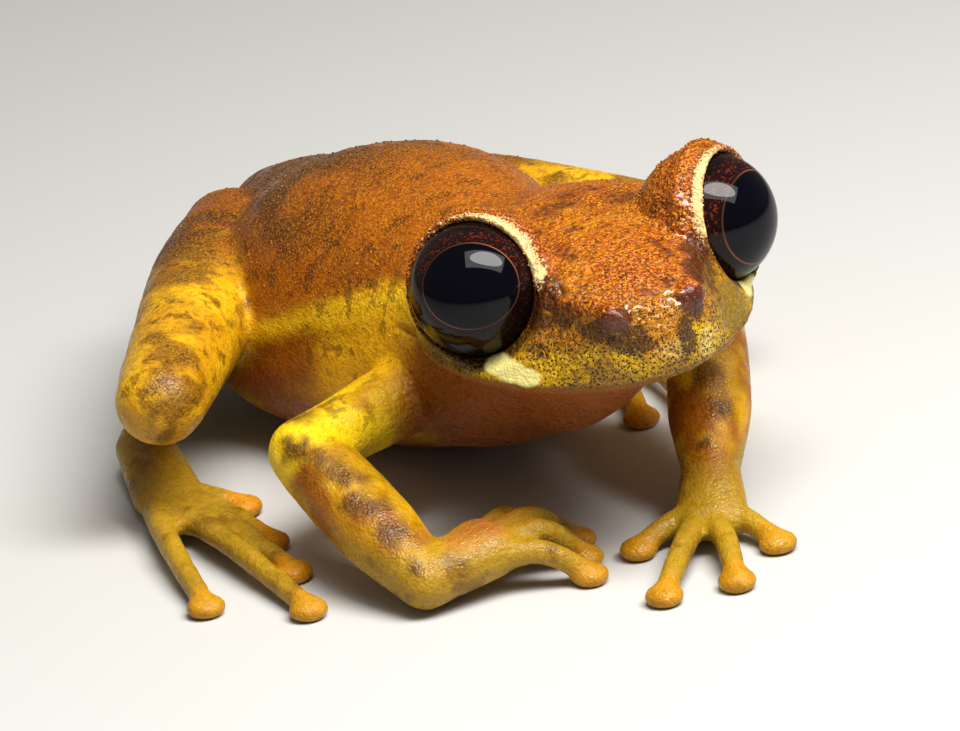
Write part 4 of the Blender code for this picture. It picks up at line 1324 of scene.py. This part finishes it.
def mottle_group():
    """Cloudy spots with a soft edge."""
    tree, n, given, out = new_group(
        "mottle", ("Mask", "Value"), Feature=0.5, Cover=0.5, Softness=0.08, Detail=4.0)
    scale = n.maths("DIVIDE", MM_PER_METRE, given["Feature"])
    clouds = n.add("ShaderNodeTexNoise", Vector=given["Vector"], Scale=scale,
                   Detail=given["Detail"], Roughness=0.6)
    value = clouds.outputs[0]
    low = n.maths("SUBTRACT", 1.0, given["Cover"])
    high = n.maths("ADD", low, given["Softness"])
    n.feed(out["Mask"], n.between(value, low, high))
    n.feed(out["Value"], value)
    return tree


def use(n, tree, **inputs):
    node = n.add("ShaderNodeGroup", {"node_tree": tree})
    for name, value in inputs.items():
        n.feed(node.inputs[name], value)
    return node.outputs


SPECKS = dots_group()
MOTTLE = mottle_group()


def new_material(name, **plain):
    """An empty material; the plain values are set on its shader's own sockets."""
    material = bpy.data.materials.new(name)
    material.use_nodes = True
    tree = material.node_tree
    tree.nodes.clear()
    n = Nodes(tree)
    output = n.add("ShaderNodeOutputMaterial")
    shader = n.add("ShaderNodeBsdfPrincipled", **plain)
    tree.links.new(shader.outputs[0], output.inputs["Surface"])
    return material, n, shader


# Plain values of the shaders.
SKIN_SHINE = {
    "Specular_IOR_Level": 0.3, "Coat_Roughness": 0.10, "Coat_IOR": 1.45,
    "Subsurface_Weight": 0.12, "Subsurface_Radius": (1.0, 0.45, 0.15), "Subsurface_Scale": 0.0006,
}
EYE_SHINE = {
    "Roughness": 0.5, "Specular_IOR_Level": 0.0, "Coat_Weight": 0.68, "Coat_Roughness": 0.015,
    "Coat_IOR": 1.36,
}
FLOOR_FINISH = {"Base_Color": (0.52, 0.52, 0.505, 1), "Roughness": 0.7}
# Pebbled grain of the skin: cell size in mm, and height in metres.
PEBBLE, PEBBLE_HEIGHT = 0.15, 0.00007
FINE_PEBBLE, FINE_PEBBLE_HEIGHT = 0.07, 0.00003
# How strongly each fine pattern shows.
DRIFT_SHOWS, BLOTCH_SHOWS, BROWN_FLECKS_SHOW, GOLD_FLECKS_SHOW = 0.40, 0.60, 0.74, 0.68
DARK_SHOWS, WINE_SHOWS, DOTS_SHOW, CREAM_SHOWS, LID_SHOWS = 0.80, 0.85, 0.95, 0.95, 0.84
# Roughness of drier and damper skin, and under water.
DRY_ROUGH, DAMP_ROUGH, WATER_ROUGH = 0.50, 0.24, 0.14


def skin_material():
    """Broad colours under clouds, flecks, dots and cream marks, with wet places."""
    material, n, shader = new_material("moist_treefrog_skin", **SKIN_SHINE)
    place = n.add("ShaderNodeTexCoord").outputs["Object"]
    stipple_here, gold_here, blotch_here = n.masks("patterns")
    cream_here, dark_here, wine_here = n.masks("marks")
    lid_here, head_here, _ = n.masks("rims")

    drift = use(n, MOTTLE, Vector=place, Feature=0.30, Cover=0.5, Softness=0.3, Detail=5.0)
    grain = use(n, MOTTLE, Vector=place, Feature=0.060, Cover=0.55, Softness=0.22, Detail=3.0)
    patchy = use(n, MOTTLE, Vector=place, Feature=0.16, Cover=0.55, Softness=0.22, Detail=4.0)
    blotch = use(n, MOTTLE, Vector=place, Feature=0.50, Cover=0.44, Softness=0.05, Detail=6.0)
    shade = n.times(drift["Mask"], DRIFT_SHOWS)
    colour = n.blend(shade, n.stored("broad_colour"), DRIFT_SHADE, "MULTIPLY")
    colour = n.blend(n.times(blotch["Mask"], blotch_here, BLOTCH_SHOWS), colour, BLOTCH_BROWN)

    # Brown and gold flecks, then dark clouds with ragged edges over them.
    uneven = n.maths("MULTIPLY_ADD", grain["Value"], 2.0, n.maths("SUBTRACT", patchy["Value"], 1.5))
    ragged = n.maths("MULTIPLY_ADD", uneven, 1.3, dark_here)
    dark = n.times(n.between(ragged, 0.30, 0.75), n.between(dark_here, 0.0, 0.35))
    wine = n.between(wine_here, 0.25, 0.6)
    for amount, over in (
        (n.times(patchy["Mask"], gold_here, BROWN_FLECKS_SHOW), FLECK_BROWN),
        (n.times(grain["Mask"], gold_here, GOLD_FLECKS_SHOW), FLECK_GOLD),
        (n.times(dark, DARK_SHOWS), DARK_CLOUD_AND_RIM_SHADE),
        (n.times(wine, WINE_SHOWS), WINE),
    ):
        colour = n.blend(amount, colour, over)

    # Dots on the cheeks: fine brown ones, and black ones that are larger near the lip.
    near_lip = n.between(gold_here, 0.30, 0.95, 0.30, 0.20)
    dots = use(n, SPECKS, Vector=place, Spacing=0.080, Size=near_lip, Softness=0.10, Density=0.97)
    fine = use(n, SPECKS, Vector=place, Spacing=0.056, Size=0.27, Softness=0.12, Density=0.95)
    finer_here = n.maths("MULTIPLY_ADD", gold_here, 0.5, 0.5)
    colour = n.blend(n.times(fine["Mask"], stipple_here, finer_here), colour, FINE_DOTS)
    colour = n.blend(n.times(dots["Mask"], stipple_here, DOTS_SHOW), colour, BLACK_DOTS)

    # Cream marks under the eyes, then the crumbled cream of the lids.
    edge = n.times(n.maths("SUBTRACT", patchy["Value"], 0.5), 0.9)
    cream = n.between(n.maths("ADD", cream_here, n.times(edge, 0.35)), 0.24, 0.76)
    cream = n.times(cream, n.between(cream_here, 0.05, 0.2), CREAM_SHOWS)
    pale = n.blend(n.times(drift["Mask"], 0.6), CREAM, CREAM_YELLOW)
    colour = n.blend(cream, colour, pale)
    crumbs = n.maths("SUBTRACT", n.times(edge, 0.6), 1.2)
    crumbs = n.maths("MULTIPLY_ADD", grain["Value"], 2.4, crumbs)
    lid = n.between(n.maths("ADD", lid_here, crumbs), 0.46, 0.66)
    lid = n.times(lid, n.between(lid_here, 0.0, 0.3), LID_SHOWS)
    pale = n.blend(n.times(grain["Mask"], 0.6), LID_CREAM, LID_COPPER)
    n.feed(shader.inputs["Base Color"], n.blend(lid, colour, pale))

    # Damp skin is glossier, and water lies over it as a clear coat.
    damp = n.between(drift["Value"], 0.42, 0.60, DRY_ROUGH, DAMP_ROUGH)
    rough = n.maths("MULTIPLY_ADD", grain["Value"], 0.16, n.maths("SUBTRACT", damp, 0.06))
    broken = n.maths("ADD", n.stored("wetness", "Fac"), n.times(edge, 1.2))
    water = n.maths("MAXIMUM", n.between(broken, 0.35, 0.70), n.times(wine, 0.35))
    n.feed(shader.inputs["Roughness"], n.between(water, 0.0, 1.0, rough, WATER_ROUGH))
    n.feed(shader.inputs["Coat Weight"], water)
    firm = n.between(head_here, 0.0, 1.0, 0.22, 0.85)
    firm = n.times(firm, n.between(cream_here, 0.2, 0.6, 1.0, 0.12))
    low = n.add("ShaderNodeBump", {"invert": True}, Strength=firm, Distance=PEBBLE_HEIGHT,
                Height=n.cells(place, PEBBLE))
    high = n.add("ShaderNodeBump", {"invert": True}, Strength=0.6, Distance=FINE_PEBBLE_HEIGHT,
                 Height=n.cells(place, FINE_PEBBLE), Normal=low.outputs[0])
    n.feed(shader.inputs["Normal"], high.outputs[0])
    return material


# Granules: how many where they are thickest, their radius in mm, and the spread
# of their sizes.
GRANULES_PER_SQUARE_MM, GRANULE_RADIUS, GRANULE_SEED = 70.0, 0.030, 11
GRANULE_SIZES, GRANULE_SIZE_SEED = (0.55, 1.35), 3
GRANULE_SOCKETS = (
    ("Geometry", "NodeSocketGeometry", "INPUT"), ("Per square mm", "NodeSocketFloat", "INPUT"),
    ("Radius", "NodeSocketFloat", "INPUT"), ("Seed", "NodeSocketInt", "INPUT"),
    ("Geometry", "NodeSocketGeometry", "OUTPUT"),
)


def granule_tree(material):
    """Small round granules strewn where the skin's density attribute allows."""
    tree = bpy.data.node_groups.new("skin_granules", "GeometryNodeTree")
    sockets = {}
    for label, kind, way in GRANULE_SOCKETS:
        sockets[label, way] = tree.interface.new_socket(label, in_out=way, socket_type=kind)
    n = Nodes(tree)
    given = n.add("NodeGroupInput").outputs
    share = n.add("GeometryNodeInputNamedAttribute", {"data_type": "FLOAT"}, Name="granule_density")
    density = n.times(share.outputs["Attribute"], given["Per square mm"])
    points = n.add("GeometryNodeDistributePointsOnFaces", Mesh=given["Geometry"], Density=density,
                   Seed=given["Seed"])
    grain = n.add("GeometryNodeMeshIcoSphere", Radius=1.0, Subdivisions=1)
    varied = n.add("FunctionNodeRandomValue", {"data_type": "FLOAT"}, Seed=GRANULE_SIZE_SEED)
    varied.inputs[2].default_value, varied.inputs[3].default_value = GRANULE_SIZES
    size = n.times(varied.outputs[1], given["Radius"])
    placed = n.add("GeometryNodeInstanceOnPoints", Points=points.outputs["Points"],
                   Instance=grain.outputs["Mesh"], Scale=size)
    real = n.add("GeometryNodeRealizeInstances", Geometry=placed.outputs[0])
    dressed = n.add("GeometryNodeSetMaterial", Geometry=real.outputs[0], Material=material)
    n.feed(n.add("NodeGroupOutput").inputs[0], dressed.outputs[0])
    return tree, sockets


def make_granules(skin, material):
    """The granules as a mesh of their own, strewn over a copy of the skin."""
    granules = new_object("skin_granules", skin.data.copy())
    tree, sockets = granule_tree(material)
    modifier = granules.modifiers.new("granules", "NODES")
    modifier.node_group = tree
    for label, value in (
        ("Per square mm", GRANULES_PER_SQUARE_MM),
        ("Radius", GRANULE_RADIUS),
        ("Seed", GRANULE_SEED),
    ):
        modifier[sockets[label, "INPUT"].identifier] = value
    return bake(granules)


# Each pupil: where it looks (turn outward, lift), its half width and height as
# shares of the eyeball's radius, and how much larger the far one is. Points at
# the back of the eyeball are put this far outside every ring.
PUPIL_AIM = {-1: (33.2, 24.2), 1: (31.0, 8.5)}
PUPIL_WIDE, PUPIL_TALL = 0.712, 0.635
PUPIL_GROWN = {-1: (1.0, 1.0, 1.0), 1: (1.06, 1.09, 1.0)}
BEHIND_EYE = 9.0


def eye_material():
    """A black pupil with a thin copper rim, in a dark iris with copper flecks."""
    material, n, shader = new_material("wet_dark_eye", **EYE_SHINE)
    seen = n.stored("eye_space", "Vector")
    split = n.add("ShaderNodeSeparateXYZ", Vector=seen).outputs
    wide = n.maths("DIVIDE", split["X"], PUPIL_WIDE)
    tall = n.maths("DIVIDE", split["Y"], PUPIL_TALL)
    reach = n.maths("SQRT", n.maths("ADD", n.times(wide, wide), n.times(tall, tall)))
    behind = n.maths("LESS_THAN", split["Z"], 0.0)
    reach = n.maths("ADD", reach, n.times(behind, BEHIND_EYE))
    place = n.add("ShaderNodeVectorMath", {"operation": "SCALE"}, Scale=EYE_RADIUS * MM)
    n.feed(place.inputs[0], seen)
    place = place.outputs[0]
    flecks = use(n, MOTTLE, Vector=place, Feature=0.075, Cover=0.46, Softness=0.08, Detail=5.0)
    band = n.times(n.between(reach, 1.0, 1.05), n.between(reach, 1.22, 1.36, 1.0, 0.0))
    upper = n.between(split["Y"], -0.25, 0.45, 0.12, 1.0)
    ring = n.times(n.between(reach, 0.980, 0.997), n.between(reach, 1.0, 1.016, 1.0, 0.0))
    slant = n.maths("ABSOLUTE", n.maths("ADD", split["X"], split["Y"]))
    colour = EYE_BLACK
    for amount, over in (
        (n.times(n.times(flecks["Mask"], band), n.times(upper, 0.6)), IRIS_COPPER),
        (n.times(band, upper, 0.35), IRIS_HAZE),
        (n.times(ring, n.between(slant, 0.1, 0.9, 0.85, 0.20)), PUPIL_RIM),
        (n.between(reach, 0.965, 0.99, 1.0, 0.0), PUPIL_BLACK),
    ):
        colour = n.blend(amount, colour, over)
    n.feed(shader.inputs["Base Color"], colour)
    return material


def make_eye(side, sign, material):
    """A whole eyeball, with each point's direction from its centre kept for the pupil."""
    shell = in_head(ball(eye_centre(sign), EYE_RADIUS, segments=128, levels=72))
    eye = object_from(f"wet_eye_{side}", [shell])
    ahead = facing(sign, *PUPIL_AIM[sign])
    back = ahead.cross(Vector((0, 0, 1))).normalized()
    up = back.cross(ahead).normalized()
    away = (points_of(eye) - np.array(HEAD @ eye_centre(sign))) / EYE_RADIUS
    axes = np.array([back, up, ahead])
    layer = eye.data.attributes.new("eye_space", "FLOAT_VECTOR", "POINT")
    layer.data.foreach_set("vector", (away @ axes.T / PUPIL_GROWN[sign]).astype(np.float32).ravel())
    outward_normals(eye)
    eye.data.materials.append(material)
    return into_place(eye)


# The camera keeps the photograph's direction, distance and roll.
VIEW_TURN, VIEW_RISE, VIEW_ROLL = 27.0, 21.0, 6.0
VIEW_DISTANCE = 150.0
SENSOR_WIDTH, NEAREST, FARTHEST = 36.0, 0.005, 20.0
PIXELS_PER_MM = 42.2
EYE_LINE_PIXEL = (594.3, 253.4)
PICTURE_MIDDLE = (
    (EYE_LINE_PIXEL[0] - PHOTO_WIDTH / 2) / PIXELS_PER_MM,
    (PHOTO_HEIGHT / 2 - EYE_LINE_PIXEL[1]) / PIXELS_PER_MM,
)


def view_axes():
    turn, rise, roll = (math.radians(v) for v in (VIEW_TURN, VIEW_RISE, VIEW_ROLL))

    def world(forward, left, up):
        return Vector((left, -forward, up))

    towards = world(math.cos(rise) * math.cos(turn), -math.cos(rise) * math.sin(turn), math.sin(rise))
    flat = world(math.sin(turn), math.cos(turn), 0)
    steep = world(-math.sin(rise) * math.cos(turn), math.sin(rise) * math.sin(turn), math.cos(rise))
    right = flat * math.cos(roll) - steep * math.sin(roll)
    up = flat * math.sin(roll) + steep * math.cos(roll)
    return towards, right, up


def aimed(at, side, up, back):
    """The place and turn of a camera or light that looks along minus back."""
    turn = Matrix((side, up, back)).transposed().to_4x4()
    return Matrix.Translation(PLACE @ at) @ turn


def make_camera():
    towards, right, up = view_axes()
    data = bpy.data.cameras.new("camera")
    data.sensor_width = SENSOR_WIDTH
    data.lens = SENSOR_WIDTH * VIEW_DISTANCE * PIXELS_PER_MM / PHOTO_WIDTH
    data.clip_start, data.clip_end = NEAREST, FARTHEST
    camera = new_object("camera", data)
    at = Vector(EYES_AT) + towards * VIEW_DISTANCE
    target = Vector(EYES_AT) - right * PICTURE_MIDDLE[0] - up * PICTURE_MIDDLE[1]
    back = (at - target).normalized()
    side = up.cross(back).normalized()
    camera.matrix_world = aimed(at, side, back.cross(side), back)
    bpy.context.scene.camera = camera


# Lights look at the head: name, shape, direction (right, up, towards the lens),
# size in mm, watts, colour.
LIGHTS = (
    ("key", "RECTANGLE", (0.20, 0.77, 0.62), (104.0, 54.0), 0.080, (1.0, 0.97, 0.92)),
    ("glint", "ELLIPSE", (0.24, 0.78, 0.59), (84.0, 40.0), 0.135, (1.0, 0.98, 0.95)),
)
LIGHT_DISTANCE = 90.0
ROOM_COLOUR, ROOM_STRENGTH = (0.86, 0.85, 0.82, 1), 0.18
FLOOR_REACH = 1.5


def area_light(name, shape, direction, size, energy, colour):
    towards, right, up = view_axes()
    aim = (right * direction[0] + up * direction[1] + towards * direction[2]).normalized()
    data = bpy.data.lights.new(name, "AREA")
    data.shape = shape
    data.size, data.size_y = size[0] * MM, size[1] * MM
    data.energy = energy
    data.color = colour
    side = (right - aim * right.dot(aim)).normalized()
    light = new_object(name, data)
    at = Vector(EYES_AT) + aim * LIGHT_DISTANCE
    light.matrix_world = aimed(at, side, aim.cross(side).normalized(), aim)


def make_studio():
    """Plain soft light and a pale floor."""
    bpy.context.scene.view_settings.view_transform = "Standard"
    world = bpy.data.worlds.new("studio")
    bpy.context.scene.world = world
    world.use_nodes = True
    back = world.node_tree.nodes["Background"]
    back.inputs["Color"].default_value = ROOM_COLOUR
    back.inputs["Strength"].default_value = ROOM_STRENGTH
    for light in LIGHTS:
        area_light(*light)
    bm = bmesh.new()
    bmesh.ops.create_grid(bm, x_segments=2, y_segments=2, size=FLOOR_REACH)
    mesh = bpy.data.meshes.new("floor")
    bm.to_mesh(mesh)
    bm.free()
    floor = new_object("floor", mesh)
    floor.data.materials.append(new_material("pale_floor", **FLOOR_FINISH)[0])


make_camera()
make_studio()
skin = make_skin()
paint(skin)
skin_finish = skin_material()
skin.data.materials.clear()
skin.data.materials.append(skin_finish)
granules = make_granules(skin, skin_finish)
into_place(skin)
into_place(granules)
flesh = [name for name in frame["nodes"] if not name.startswith("eye_")]
body = sorted(frame["bodies"])[0]
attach(skin, body)
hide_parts(*sorted(flesh))
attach(granules, body)
eye_finish = eye_material()
for side, sign in (("right", -1), ("left", 1)):
    eye = make_eye(side, sign, eye_finish)
    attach(eye, body)
    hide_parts(f"eye_{side}")
